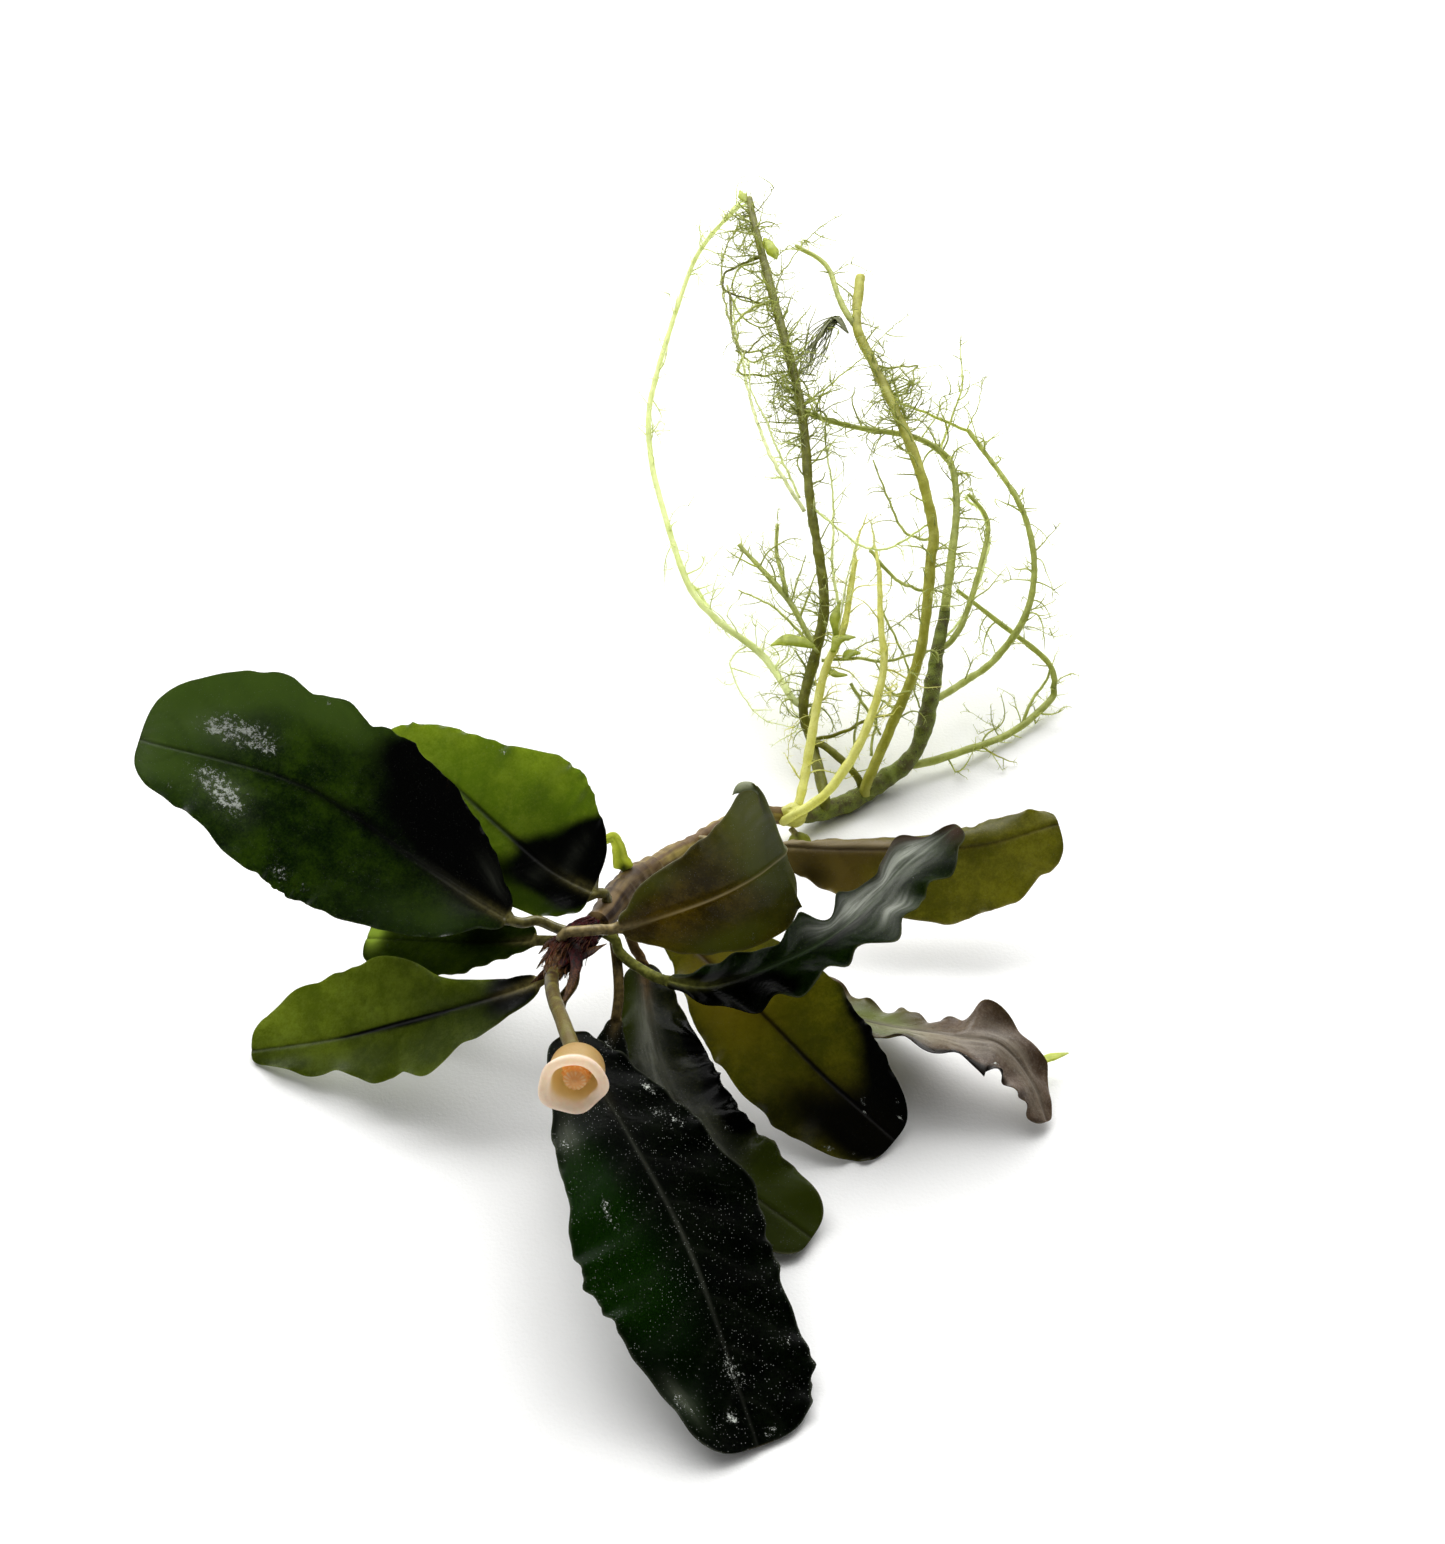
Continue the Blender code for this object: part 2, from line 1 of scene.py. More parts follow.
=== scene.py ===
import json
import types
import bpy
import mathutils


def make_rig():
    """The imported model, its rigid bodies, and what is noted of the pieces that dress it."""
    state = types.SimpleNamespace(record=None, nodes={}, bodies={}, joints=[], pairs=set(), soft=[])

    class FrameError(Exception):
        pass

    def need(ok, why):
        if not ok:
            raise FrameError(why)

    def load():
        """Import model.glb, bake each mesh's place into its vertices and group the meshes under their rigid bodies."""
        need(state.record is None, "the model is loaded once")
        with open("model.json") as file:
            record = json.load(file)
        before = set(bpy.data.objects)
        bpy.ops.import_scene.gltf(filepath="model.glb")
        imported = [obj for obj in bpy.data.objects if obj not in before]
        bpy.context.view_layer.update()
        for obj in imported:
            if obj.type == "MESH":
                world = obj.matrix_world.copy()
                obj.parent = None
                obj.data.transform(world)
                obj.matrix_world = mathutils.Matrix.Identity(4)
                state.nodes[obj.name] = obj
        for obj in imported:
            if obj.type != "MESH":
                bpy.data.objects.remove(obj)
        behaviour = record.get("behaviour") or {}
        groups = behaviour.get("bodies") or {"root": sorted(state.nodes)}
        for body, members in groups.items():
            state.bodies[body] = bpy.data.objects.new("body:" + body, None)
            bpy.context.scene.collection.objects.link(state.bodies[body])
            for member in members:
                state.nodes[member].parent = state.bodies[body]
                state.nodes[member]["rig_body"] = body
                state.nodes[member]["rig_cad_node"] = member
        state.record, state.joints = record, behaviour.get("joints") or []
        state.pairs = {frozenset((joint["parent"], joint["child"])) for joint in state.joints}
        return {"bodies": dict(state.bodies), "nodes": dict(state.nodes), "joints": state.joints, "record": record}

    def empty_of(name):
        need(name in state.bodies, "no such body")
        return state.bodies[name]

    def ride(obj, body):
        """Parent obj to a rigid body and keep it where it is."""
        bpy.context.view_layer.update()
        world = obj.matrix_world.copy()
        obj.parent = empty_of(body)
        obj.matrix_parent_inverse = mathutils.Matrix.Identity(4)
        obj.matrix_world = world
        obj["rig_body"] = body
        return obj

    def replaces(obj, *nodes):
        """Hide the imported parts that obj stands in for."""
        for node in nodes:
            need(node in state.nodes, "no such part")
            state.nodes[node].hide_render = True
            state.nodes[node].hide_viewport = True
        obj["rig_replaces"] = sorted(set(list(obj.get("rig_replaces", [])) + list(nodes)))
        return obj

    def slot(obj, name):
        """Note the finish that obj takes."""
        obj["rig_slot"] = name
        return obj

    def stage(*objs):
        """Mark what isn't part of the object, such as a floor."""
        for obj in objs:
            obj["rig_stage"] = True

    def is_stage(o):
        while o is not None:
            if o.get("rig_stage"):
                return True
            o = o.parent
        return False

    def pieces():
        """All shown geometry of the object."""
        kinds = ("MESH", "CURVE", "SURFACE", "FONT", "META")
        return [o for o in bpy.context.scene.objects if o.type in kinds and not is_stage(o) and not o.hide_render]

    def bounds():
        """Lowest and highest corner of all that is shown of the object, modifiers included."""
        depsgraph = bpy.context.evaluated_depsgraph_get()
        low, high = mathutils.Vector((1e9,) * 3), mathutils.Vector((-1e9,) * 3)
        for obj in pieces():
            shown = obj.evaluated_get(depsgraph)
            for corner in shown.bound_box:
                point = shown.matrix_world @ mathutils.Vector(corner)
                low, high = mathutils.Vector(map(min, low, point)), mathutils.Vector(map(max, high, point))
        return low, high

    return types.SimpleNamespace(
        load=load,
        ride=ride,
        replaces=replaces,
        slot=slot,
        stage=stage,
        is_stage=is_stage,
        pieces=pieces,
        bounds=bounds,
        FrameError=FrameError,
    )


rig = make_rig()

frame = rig.load()
cad_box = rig.bounds()

# Looks of a bare-rooted bucephalandra plant that lies on a white surface.
#
# Lengths are in millimetres in the plan that the part's source uses: zero is in the middle of the old
# rhizome, +X is to the right, +Y runs from the leaves to the roots, and +Z is up. A point becomes
# metres in the shared frame when it is placed. Colours are written as red, green and blue from 0 to
# 255, as seen on a screen.
import json
import math

import bpy
import numpy as np
from mathutils import Vector

MM = 0.001
UP = np.array((0.0, 0.0, 1.0))
FULL_TURN = 2 * math.pi

# The middle of the plant's box, on the surface. It becomes the origin.
MIDDLE = np.array((-37.0, -0.5, 0.0))

# Camera: above the front, looking along +Y and 45 degrees down, with a 50 mm lens on a 36 mm long side.
CAMERA_AT = (-24.0, -242.0, 250.0)
CAMERA_DOWN = 45.0
LENS = 50.0
LONG_SIDE = 36.0
CAMERA_SEES = (0.01, 50)

# Light, in metres: a wide soft box high behind the plant, in a room that is bright behind and dark at
# the camera. The room brightens between the two cosines of the angle from its bright way.
LIGHT_WAY = Vector((-0.12, 0.72, 0.69))
LIGHT_DISTANCE = 1.5
LIGHT_SIZE = (2.3, 1.2)
LIGHT_POWER = 42.0
ROOM_WAY = Vector((0.0, 0.88, 0.45))
ROOM_TURNS = (0.25, 0.9)
ROOM_DARK = 0.08
ROOM_BRIGHT = 1.9
FLOOR_SIZE = 8.0

# Points on each span of a curve
PER_SPAN = 30

# Random numbers start from these: the first leaf's, and those of all that isn't a leaf.
LEAF_SEEDS = 3
GROWTH_SEED = 21

# Meshes of leaves: rows along a blade, which crowd to its ends by a cosine over this part of half a
# turn, the distance between rows of a stalk, columns across, and the places of more columns beside the
# rib.
ROWS = 180
ROW_TURN = (0.012, 0.994)
STALK_STEP = 0.7
COLUMNS = 38
NEAR_RIB = (0.015, 0.035, 0.06)

# Leaves: how thick the sheet is, how much of that its margin loses, the stalk's radius, the share of it
# that the rib loses by the tip, how soon a stalk flattens into its blade, and how far the halves curve
# up, in degrees.
THICKNESS = 0.44
THIN_MARGIN = 0.7
STALK_RADIUS = 0.75
RIB_TAPER = 0.7
FLATTENS = 4
CUPS = (8, 8)

# Bends of a blade grow with powers of the place across, which is 0 at the rib and 1 at the margin: the
# margin's waves out and up, and the folds. Folds lean to the tip, and those of the right half come
# later. The margin's edge curls from a place across, and all bends fade out at the blade's ends.
OUT_POWER = 4
UP_POWER = 3.2
FOLD_POWER = 1.3
FOLD_LEAN = 0.06
FOLD_LATER = 2.4
CURLS_FROM = 0.86
BENDS_FADE = 0.7

# Waves of a margin, each a pace and a strength: those that make the others uneven, those up and down,
# the crests outwards, the swell that makes them large or small, and the curl. The last three are shares
# of the height.
UNEVEN_WAVES = ((1.3, 0.05), (3.1, 0.02))
UP_WAVES = ((0.7, 1), (1.2, 0.6), (0.4, 0.4))
OUT_WAVES = ((0.8, 1), (1.9, 0.5))
SWELL_WAVE = (2.3, 0.5)
CURL_PACE = 1.6
UP_SHARE = 0.8
OUT_SHARE = 0.6
CURL_SHARE = 0.9

# Relief of a blade. Groove and shoulder are depths and reaches over the rib, and the ridge is under it:
# its share of the rib's radius, and its reach. Quilting is soft waves, and veins lean to the tip.
GROOVE = (0.2, 0.35)
SHOULDER = (0.1, 1.2)
RIDGE = 0.75
RIDGE_REACH = (0.5, 0.15)
QUILT = 0.16
VEINS = 9
VEIN_LEAN = 1.6
VEIN_BEND = 1.35
VEIN_SHIFTS = (1.0, 2.2)
VEIN_DEPTH = 0.03

# How the rib's colour narrows to the tip, how wide the rim's is, and how far the stalk's runs into the
# blade.
RIB_COLOUR = (0.5, 0.3)
RIM_COLOUR = 0.22
STALK_COLOUR = (0.8, 0.12)

# Kinds of soft spots that a blade may have, and how uneven their edges are. Shades have sharper edges.
SPOTS = {"patch": ("patches", 0.3), "shade": ("shades", 0.25), "brown": ("browns", 0.4),
         "sheen": ("sheens", 0.3), "glint": ("glints", 0)}
RIMS_UNEVEN = 0.5

# Leaves have a stalk and a midrib, as points, and stations along the blade. They follow those of the
# part's source, and some are finer. A station is its place from 0 at the blade's base to 1 at its tip,
# and the left and right half widths. Its roll about the midrib, and then how far its halves curve up (its
# cups), both in degrees, follow only where they aren't the leaf's own. Blunt has the powers that round
# the blade's base and tip. Ruffle is the number of waves along a margin and their height, and folds are
# the same for waves that cross the whole blade. A lobe is a side (-1 left, 1 right), a place along, how
# far it sticks out and how long it is. Shades, patches, browns, sheens, glints and rims are soft spots:
# their place along the blade, their place across it from -1 to 1, their reach both ways and their
# strength.
# Patches are partly a leaf's own tint and partly painted light and shade, where more and less light comes through.
LEAVES = {
    "leaf_upper_left": dict(
        stalk=[(-43.2, -45.4, 20.8), (-47.2, -44.4, 21.3), (-50, -43.8, 22.3)],
        midrib=[(-54, -44.5, 23.5), (-66, -38.5, 28), (-83.5, -29.5, 35), (-106, -25.5, 40)],
        stations=[(0.05, 2.4, 3.6, 38, 8, 8), (0.1, 5.8, 6, 38, 8, 8), (0.2, 9.2, 9.3, 38, 12, 12),
            (0.29, 11.2, 11.4, 38, 12, 12), (0.38, 12.9, 12.1, 38, 12, 12), (0.47, 14.2, 12.7, 37, 12, 12),
            (0.54, 14, 12.2, 36), (0.575, 13.9, 13.4, 36), (0.62, 13.6, 12.7, 36), (0.67, 13.2, 12.8, 35),
            (0.71, 12.6, 13.8), (0.77, 10.8, 12.9), (0.82, 9, 12.3), (0.89, 7.3, 10.4), (0.95, 6, 8.2)],
        roll=34, cups=(10, 14), blunt=(0.85, 0.6), ruffle=(12, 0.24), folds=(7, 0.3), look="dark_green",
        lobes=((1, 0.43, 0.4, 0.02), (1, 0.52, -0.5, 0.015), (1, 0.645, -0.4, 0.015),
            (-1, 0.78, -0.5, 0.02), (-1, 0.6, -0.4, 0.02), (-1, 0.33, 0.5, 0.03)),
        shades=((0.35, 0.7, 0.13, 0.45, 1.4), (0.2, 0.6, 0.13, 0.42, 1.5), (0.06, 0.4, 0.12, 0.6, 1.4),
            (0.5, 0.0, 0.3, 0.12, 0.45)),
        patches=((0.99, 0.2, 0.17, 1.3, 1.2), (0.88, 0.95, 0.2, 0.4, 1.0), (0.62, 0.85, 0.2, 0.3, 0.8),
            (0.15, -0.7, 0.16, 0.3, 0.7)),
        sheens=((0.8, 0.36, 0.1, 0.2, 0.6), (0.77, -0.42, 0.08, 0.24, 0.6), (0.1, -0.3, 0.08, 0.2, 0.35),
            (0.99, 0.0, 0.04, 0.8, 0.5), (0.08, 0.7, 0.05, 0.2, 0.3), (0.15, 0.0, 0.12, 0.05, 0.5)),
        glints=((0.83, 0.38, 0.07, 0.16, 1), (0.75, 0.3, 0.07, 0.16, 0.9), (0.7, 0.2, 0.03, 0.1, 0.7),
            (0.82, -0.3, 0.06, 0.2, 1.0), (0.75, -0.46, 0.06, 0.2, 1.1), (0.53, -0.85, 0.04, 0.08, 0.9),
            (0.44, -0.85, 0.03, 0.06, 0.8), (0.27, -0.7, 0.04, 0.1, 0.5), (0.9, -0.75, 0.03, 0.08, 0.7),
            (0.62, 0.93, 0.03, 0.05, 0.7), (0.36, 0.85, 0.04, 0.06, 0.5))),
    "leaf_upper_left_behind": dict(
        stalk=[(-40.4, -38.7, 19.6), (-40.8, -38.4, 21.9)],
        midrib=[(-42.5, -38.8, 22.8), (-48.8, -35.8, 24.5), (-56, -30, 27), (-65, -22, 29.5),
            (-74, -17.5, 31)],
        stations=[(0.04, 4, 7.4), (0.1, 5.4, 9.4), (0.35, 9, 13.2), (0.7, 11, 7.6), (0.9, 7, 5)],
        roll=30, blunt=(0.6, 0.6), ruffle=(9, 0.34), folds=(6, 0.25), look="bright_green",
        shades=((0.22, -0.1, 0.11, 0.36, 1.3), (0.09, 0.2, 0.11, 0.5, 1.6), (0.03, 0.3, 0.1, 1.0, 1.2),
            (0.38, -0.75, 0.14, 0.4, 0.8), (0.45, 0.0, 0.3, 0.05, 0.5)),
        sheens=((0.12, 0.3, 0.03, 0.3, 0.3), (0.2, -0.2, 0.03, 0.2, 0.25)),
        patches=((0.2, -0.8, 0.25, 0.35, 0.9), (0.3, 0.1, 0.2, 0.5, 0.5)),
        glints=((0.12, 0.1, 0.03, 0.08, 0.5), (0.62, 0.86, 0.06, 0.06, 0.7), (0.08, -0.5, 0.03, 0.1, 0.4))),
    "leaf_left": dict(
        stalk=[(-46.2, -49.8, 21.6), (-48, -51, 20.2)],
        midrib=[(-49.6, -52.2, 19), (-58, -52.5, 15), (-71, -51.5, 8.5), (-79, -51, 5),
            (-92.4, -50.2, 0.9)],
        stations=[(0.1, 3, 1.5, 15, 10, 10), (0.25, 6, 3.5, 18, 10, 10), (0.45, 8, 8.5), (0.65, 6, 9.5),
            (0.85, 3.8, 7.5), (0.95, 2.2, 4.5)],
        roll=20, cups=(6, 10), blunt=(1, 0.5), ruffle=(5, 0.16), folds=(4, 0.3), look="light_olive",
        lobes=((-1, 0.25, -1.0, 0.045), (-1, 0.37, 1.2, 0.05), (-1, 0.465, -0.9, 0.035),
            (-1, 0.575, 0.9, 0.045), (-1, 0.7, -0.8, 0.04), (-1, 0.8, 0.6, 0.045), (1, 0.33, -0.8, 0.07),
            (1, 0.55, 0.6, 0.1), (1, 0.76, -0.7, 0.04), (1, 0.87, 0.4, 0.05)),
        shades=((0.05, 0.2, 0.13, 1.4, 1.2), (0.42, -0.02, 0.16, 0.055, 1.3),
            (0.62, 0.0, 0.16, 0.04, 0.7)),
        patches=((0.3, 0.1, 0.2, 0.7, 0.5), (0.1, -0.3, 0.14, 0.7, 0.8)),
        glints=((0.42, 0.97, 0.06, 0.05, 0.5),)),
    "leaf_left_behind": dict(
        stalk=[(-42.8, -43.8, 19.2), (-47, -43.8, 18)],
        midrib=[(-50.8, -43, 17), (-59.2, -39.7, 12.5), (-67.4, -36.3, 9), (-77, -33.3, 6)],
        stations=[(0.12, 2, 3), (0.5, 6, 8), (0.85, 5, 6)],
        roll=10, blunt=(0.9, 0.6), ruffle=(5, 0.25), look="shaded_green",
        shades=((0.35, 0.2, 0.3, 1.0, 0.5),),
        patches=((0.97, 0.2, 0.06, 0.6, 1.2),)),
    "leaf_centre": dict(
        stalk=[(-46.4, -49, 24), (-45.6, -48.4, 25), (-43.3, -48.8, 25.8), (-41, -48, 25.2)],
        midrib=[(-38.2, -46.5, 24), (-26.5, -46.2, 29.3), (-20.3, -45, 32.4), (-16.9, -43.1, 34),
            (-15.6, -41.9, 34.4), (-16, -40.8, 34.3), (-18.6, -39.1, 33.8), (-22.6, -36.7, 32.2)],
        stations=[(0.05, 2.8, 1.7, 105, 6, 12), (0.12, 5.2, 3.9, 105, 6, 16), (0.2, 7.2, 5.1),
            (0.33, 8.9, 6.6), (0.44, 10.1, 7.6), (0.55, 10.8, 8.9, 105, 6, 16),
            (0.6, 10.6, 9.7, 105, 6, 12), (0.64, 10.2, 10.7, 105, 6, 9), (0.68, 10.2, 11.9, 105, 6, 6),
            (0.7, 10.2, 12.6, 105, 6, 5), (0.72, 10, 13.1, 104, 6, 5), (0.74, 9.6, 12.8, 104, 6, 5),
            (0.775, 9.6, 9, 104, 6, 6), (0.83, 8.2, 5, 104, 6, 8), (0.95, 4, 2.5, 105, 8, 8)],
        roll=105, cups=(6, 18), blunt=(0.8, 0.6), ruffle=(5, 0.14), folds=(5, 0.15), rib_width=0.5,
        look="underside_olive",
        patches=((0.66, 0.6, 0.14, 0.7, 1.3), (0.68, -0.3, 0.1, 0.7, 1.0), (0.4, -0.85, 0.25, 0.35, 1.0),
            (0.15, 0.85, 0.2, 0.3, 0.8)),
        sheens=((0.7, 0.6, 0.06, 0.4, 0.8), (0.55, 0.7, 0.1, 0.2, 0.4), (0.72, -0.1, 0.03, 0.4, 0.4)),
        browns=((0.1, 0.0, 0.2, 0.5, 0.8),),
        glints=((0.45, -0.8, 0.03, 0.1, 0.8), (0.63, 0.8, 0.02, 0.08, 0.6), (0.5, -0.94, 0.08, 0.04, 0.7))),
    "leaf_right_twisted": dict(
        stalk=[(-41.4, -43.6, 20), (-39.2, -44.6, 19), (-38.6, -45.6, 17.6), (-36, -47.5, 16.5)],
        midrib=[(-31.5, -50.5, 17), (-24.5, -51.6, 17.5), (-12, -48.2, 21), (-4.5, -43.6, 23.8),
            (1.4, -37.4, 26.2), (9.4, -32.2, 29.4)],
        stations=[(0.06, 1.6, 1.2, 5, 15, 15), (0.13, 3.7, 3.3, 6, 15, 15), (0.18, 3.6, 6.2, 7, 18, 18),
            (0.24, 3.6, 8.2, 8), (0.29, 3.3, 6.6, 8), (0.35, 2.4, 8.5, 9), (0.4, 5.2, 7.2, 10),
            (0.45, 5.6, 5.6, 11), (0.48, 4.6, 7, 12), (0.52, 3, 5.6, 13), (0.57, 3.2, 8.2, 14),
            (0.61, 4.5, 9), (0.645, 4, 7), (0.68, 2.8, 8), (0.73, 1.7, 7), (0.77, 3.2, 7),
            (0.83, 4.2, 7.8, 17), (0.87, 3.8, 9.2, 18), (0.91, 2, 8.4, 19), (0.95, 1, 5, 20)],
        roll=15, cups=(20, 20), blunt=(0.8, 0.75), ruffle=(6, 0.14), folds=(8, 0.55), look="sheen_green",
        sheens=((0.5, -0.5, 0.08, 0.3, 0.35), (0.62, -0.35, 0.09, 0.4, 0.7),
            (0.75, -0.25, 0.09, 0.45, 0.85), (0.86, -0.2, 0.07, 0.4, 0.9), (0.66, 0.6, 0.05, 0.25, 0.9)),
        shades=((0.1, 0.5, 0.14, 1.0, 1.6), (0.26, 0.6, 0.1, 0.4, 1.3), (0.55, 0.12, 0.1, 0.1, 0.8)),
        patches=((1.0, -0.2, 0.05, 1.2, 1.2), (0.85, -0.95, 0.12, 0.25, 1.0)),
        glints=((0.66, -0.3, 0.03, 0.1, 0.5), (0.78, 0.5, 0.03, 0.1, 0.6), (0.5, -0.8, 0.03, 0.08, 0.5))),
    "leaf_right_behind": dict(
        stalk=[(-27.4, -16.4, 9.8), (-26.4, -17.6, 11), (-21, -20.8, 12.6)],
        midrib=[(-15.3, -21.5, 13.5), (-5, -22.5, 14), (13.3, -22.5, 14.7), (26.5, -19.5, 16.5)],
        stations=[(0.1, 1, 4, -40, -60, 5), (0.4, 3, 9.5), (0.7, 4, 10, -45, -80, 5),
            (0.9, 3.2, 6.5, -40, -30, 5)],
        roll=-45, cups=(-110, 5), blunt=(0.8, 0.5), ruffle=(7, 0.34), folds=(5, 0.3), look="brown_olive",
        lobes=((1, 0.95, 0.5, 0.03), (1, 0.87, -0.7, 0.03), (1, 0.8, 0.6, 0.03), (1, 0.71, -0.5, 0.03),
            (1, 0.6, 0.4, 0.04)),
        rims=((0.14, -0.22, 0.2, 0.2, 1.3), (0.3, -0.2, 0.12, 0.14, 1.0), (0.12, -0.8, 0.2, 0.3, 0.8)),
        shades=((0.12, 0.4, 0.14, 1.0, 0.5), (0.5, 0.5, 0.06, 0.3, 0.4), (0.74, 0.1, 0.2, 0.2, 0.4)),
        patches=((0.08, 0, 0.2, 1.5, 1.3), (0.3, -0.3, 0.17, 0.4, 1.1), (0.26, 0.6, 0.1, 0.5, 0.5)),
        glints=((0.16, -0.3, 0.02, 0.15, 0.6),)),
    "leaf_lower_right": dict(
        stalk=[(-38.2, -34.6, 17), (-36.2, -36.2, 16), (-34, -38.5, 16)],
        midrib=[(-31.3, -40, 16), (-19, -51.5, 12), (-9.5, -59.3, 6.5), (0.2, -66, 1.1)],
        stations=[(0.08, 4.5, 3), (0.35, 9.5, 8.3, -16), (0.65, 9.5, 9.8), (0.9, 6, 7)],
        roll=-20, blunt=(0.7, 0.6), ruffle=(7, 0.32), folds=(5, 0.3), look="olive",
        shades=((1.0, -0.5, 0.14, 1.0, 1.2), (0.88, -0.95, 0.16, 0.35, 0.9), (0.65, -1.0, 0.2, 0.12, 0.6),
            (0.8, 0.3, 0.28, 1.2, 0.43), (0.72, 0.9, 0.3, 0.6, 0.26), (0.45, 0.0, 0.4, 0.04, 0.5)),
        patches=((0.28, 0.2, 0.22, 0.7, 1.1), (0.9, 0.2, 0.2, 0.6, 0.6)),
        glints=((0.84, -0.15, 0.02, 0.07, 1.2), (0.87, 0.0, 0.015, 0.05, 1.0),
            (0.97, -0.6, 0.02, 0.1, 1.1), (0.85, 0.9, 0.02, 0.07, 1.0), (0.92, 0.8, 0.02, 0.05, 0.8),
            (0.93, -0.75, 0.015, 0.05, 0.9))),
    "leaf_front": dict(
        stalk=[(-44.6, -49.8, 21.2), (-44.6, -53, 19.8), (-46.2, -57, 19.8)],
        midrib=[(-45, -61.5, 19), (-36.3, -76, 16), (-28, -90, 9.5), (-19.5, -112, 0.7)],
        stations=[(0.08, 4, 5, 8, 8, 8), (0.3, 8.5, 11), (0.48, 11, 15, 10, 14, 12), (0.7, 9.5, 13),
            (0.88, 10, 9, 8)],
        roll=10, cups=(10, 10), blunt=(0.8, 0.55), ruffle=(10, 0.3), folds=(8, 0.35), look="black_green",
        lobes=((1, 0.27, 0.4, 0.04), (1, 0.36, -0.6, 0.03), (1, 0.42, 0.5, 0.04), (1, 0.57, 0.7, 0.03),
            (-1, 0.3, 0.6, 0.03), (-1, 0.42, -0.4, 0.03), (-1, 0.5, 0.5, 0.03), (-1, 0.66, 0.5, 0.03)),
        patches=((0.34, 0.75, 0.1, 0.3, 1.2), (0.46, 0.7, 0.14, 0.36, 1.7), (0.58, 0.75, 0.09, 0.3, 1.1),
            (0.7, 0.5, 0.14, 0.4, 0.5), (0.88, 0.8, 0.06, 0.2, 0.6)),
        sheens=((0.24, 0.8, 0.05, 0.15, 0.5), (0.87, 0.8, 0.05, 0.12, 0.5), (0.5, 0.0, 0.3, 0.02, 0.3)),
        glints=((0.2, -0.8, 0.03, 0.1, 1.1), (0.26, -0.6, 0.02, 0.1, 0.9), (0.25, 0.85, 0.02, 0.1, 0.9),
            (0.41, 0.6, 0.03, 0.05, 1.1), (0.45, 0.55, 0.02, 0.05, 0.8), (0.87, 0.85, 0.03, 0.1, 0.9),
            (0.93, 0.25, 0.02, 0.1, 1.2), (0.98, -0.3, 0.015, 0.14, 1.2), (0.84, 0.0, 0.05, 0.16, 0.8),
            (0.82, -0.8, 0.03, 0.05, 0.8), (0.3, -0.75, 0.03, 0.1, 0.8))),
    "leaf_front_right": dict(
        stalk=[(-38.8, -35, 16), (-38, -37.2, 13.5), (-36.7, -40, 11.5)],
        midrib=[(-35.6, -41.8, 10), (-33.3, -56.5, 8.3), (-28.5, -68.6, 7.5), (-22.5, -75.4, 5),
            (-12, -82, 1)],
        stations=[(0.08, 3, 3), (0.3, 6, 6), (0.6, 7, 7, -10), (0.85, 7, 6, -5)],
        roll=0, blunt=(0.8, 0.6), ruffle=(9, 0.45), folds=(6, 0.5), look="sheen_olive",
        sheens=((0.2, 0.1, 0.14, 0.26, 0.55), (0.42, 0.2, 0.14, 0.22, 0.6), (0.6, -0.2, 0.1, 0.2, 0.5)),
        shades=((0.3, -0.95, 0.1, 0.35, 1.2), (0.5, -0.9, 0.08, 0.35, 1.3), (0.62, -0.9, 0.06, 0.4, 1.0),
            (0.45, 0.6, 0.2, 0.5, 0.8)),
        patches=((0.95, -0.2, 0.14, 1.6, 1.6), (0.8, -0.6, 0.07, 0.6, 1.2), (0.12, 0.7, 0.14, 0.5, 1.2),
            (0.25, 0.85, 0.08, 0.3, 1.0)),
        glints=((0.3, 0.1, 0.06, 0.1, 0.4), (0.62, -0.6, 0.03, 0.1, 0.7))),
    "leaf_front_right_small": dict(
        stalk=[(-40.8, -41, 18.6), (-39.6, -42, 17), (-38.6, -49.7, 15)],
        midrib=[(-38.9, -54.6, 13.5), (-39.5, -59.5, 12.2), (-39.5, -66, 10.6), (-38, -73, 9)],
        stations=[(0.08, 0.7, 0.8), (0.25, 1.9, 2.4), (0.5, 2.6, 4.6), (0.9, 2, 3)],
        roll=0, blunt=(1, 0.6), ruffle=(4, 0.18), look="black_green", rows=110,
        glints=((0.2, 0.2, 0.06, 0.4, 1.0),)),
    "leaf_right_purple": dict(
        stalk=[(-35.2, -27.6, 12.8), (-34.8, -29.6, 11.6), (-25, -34.5, 9)],
        midrib=[(-12.7, -40.2, 6.5), (-5.4, -46.7, 4.6), (8.4, -52.7, 7.5), (15.3, -54.3, 7.5),
            (19.6, -58.4, 4.3), (21.7, -63, 1.2)],
        stations=[(0.1, 3, 3, 15), (0.3, 5, 5), (0.5, 4.5, 5.5), (0.7, 4.5, 5, 0), (0.88, 2.2, 3.5, 20)],
        roll=28, blunt=(0.8, 0.7), ruffle=(5, 0.42), folds=(7, 0.5), look="purple",
        sheens=((0.5, 0.2, 0.2, 0.3, 0.9), (0.7, -0.1, 0.16, 0.5, 0.9), (0.9, 0.3, 0.1, 0.5, 0.5)),
        lobes=((1, 0.42, -0.6, 0.04), (1, 0.52, 1.2, 0.04), (1, 0.6, -0.9, 0.03), (1, 0.68, 1.1, 0.03),
            (1, 0.77, -0.9, 0.03), (1, 0.86, 1.0, 0.025), (1, 0.93, -0.8, 0.02), (1, 0.975, 0.8, 0.02),
            (-1, 0.66, 1.2, 0.05), (-1, 0.75, -0.5, 0.03), (-1, 0.86, 1.4, 0.04)),
        shades=((0.5, 1.0, 0.3, 0.25, 0.7), (0.75, 1.0, 0.2, 0.25, 0.5)),
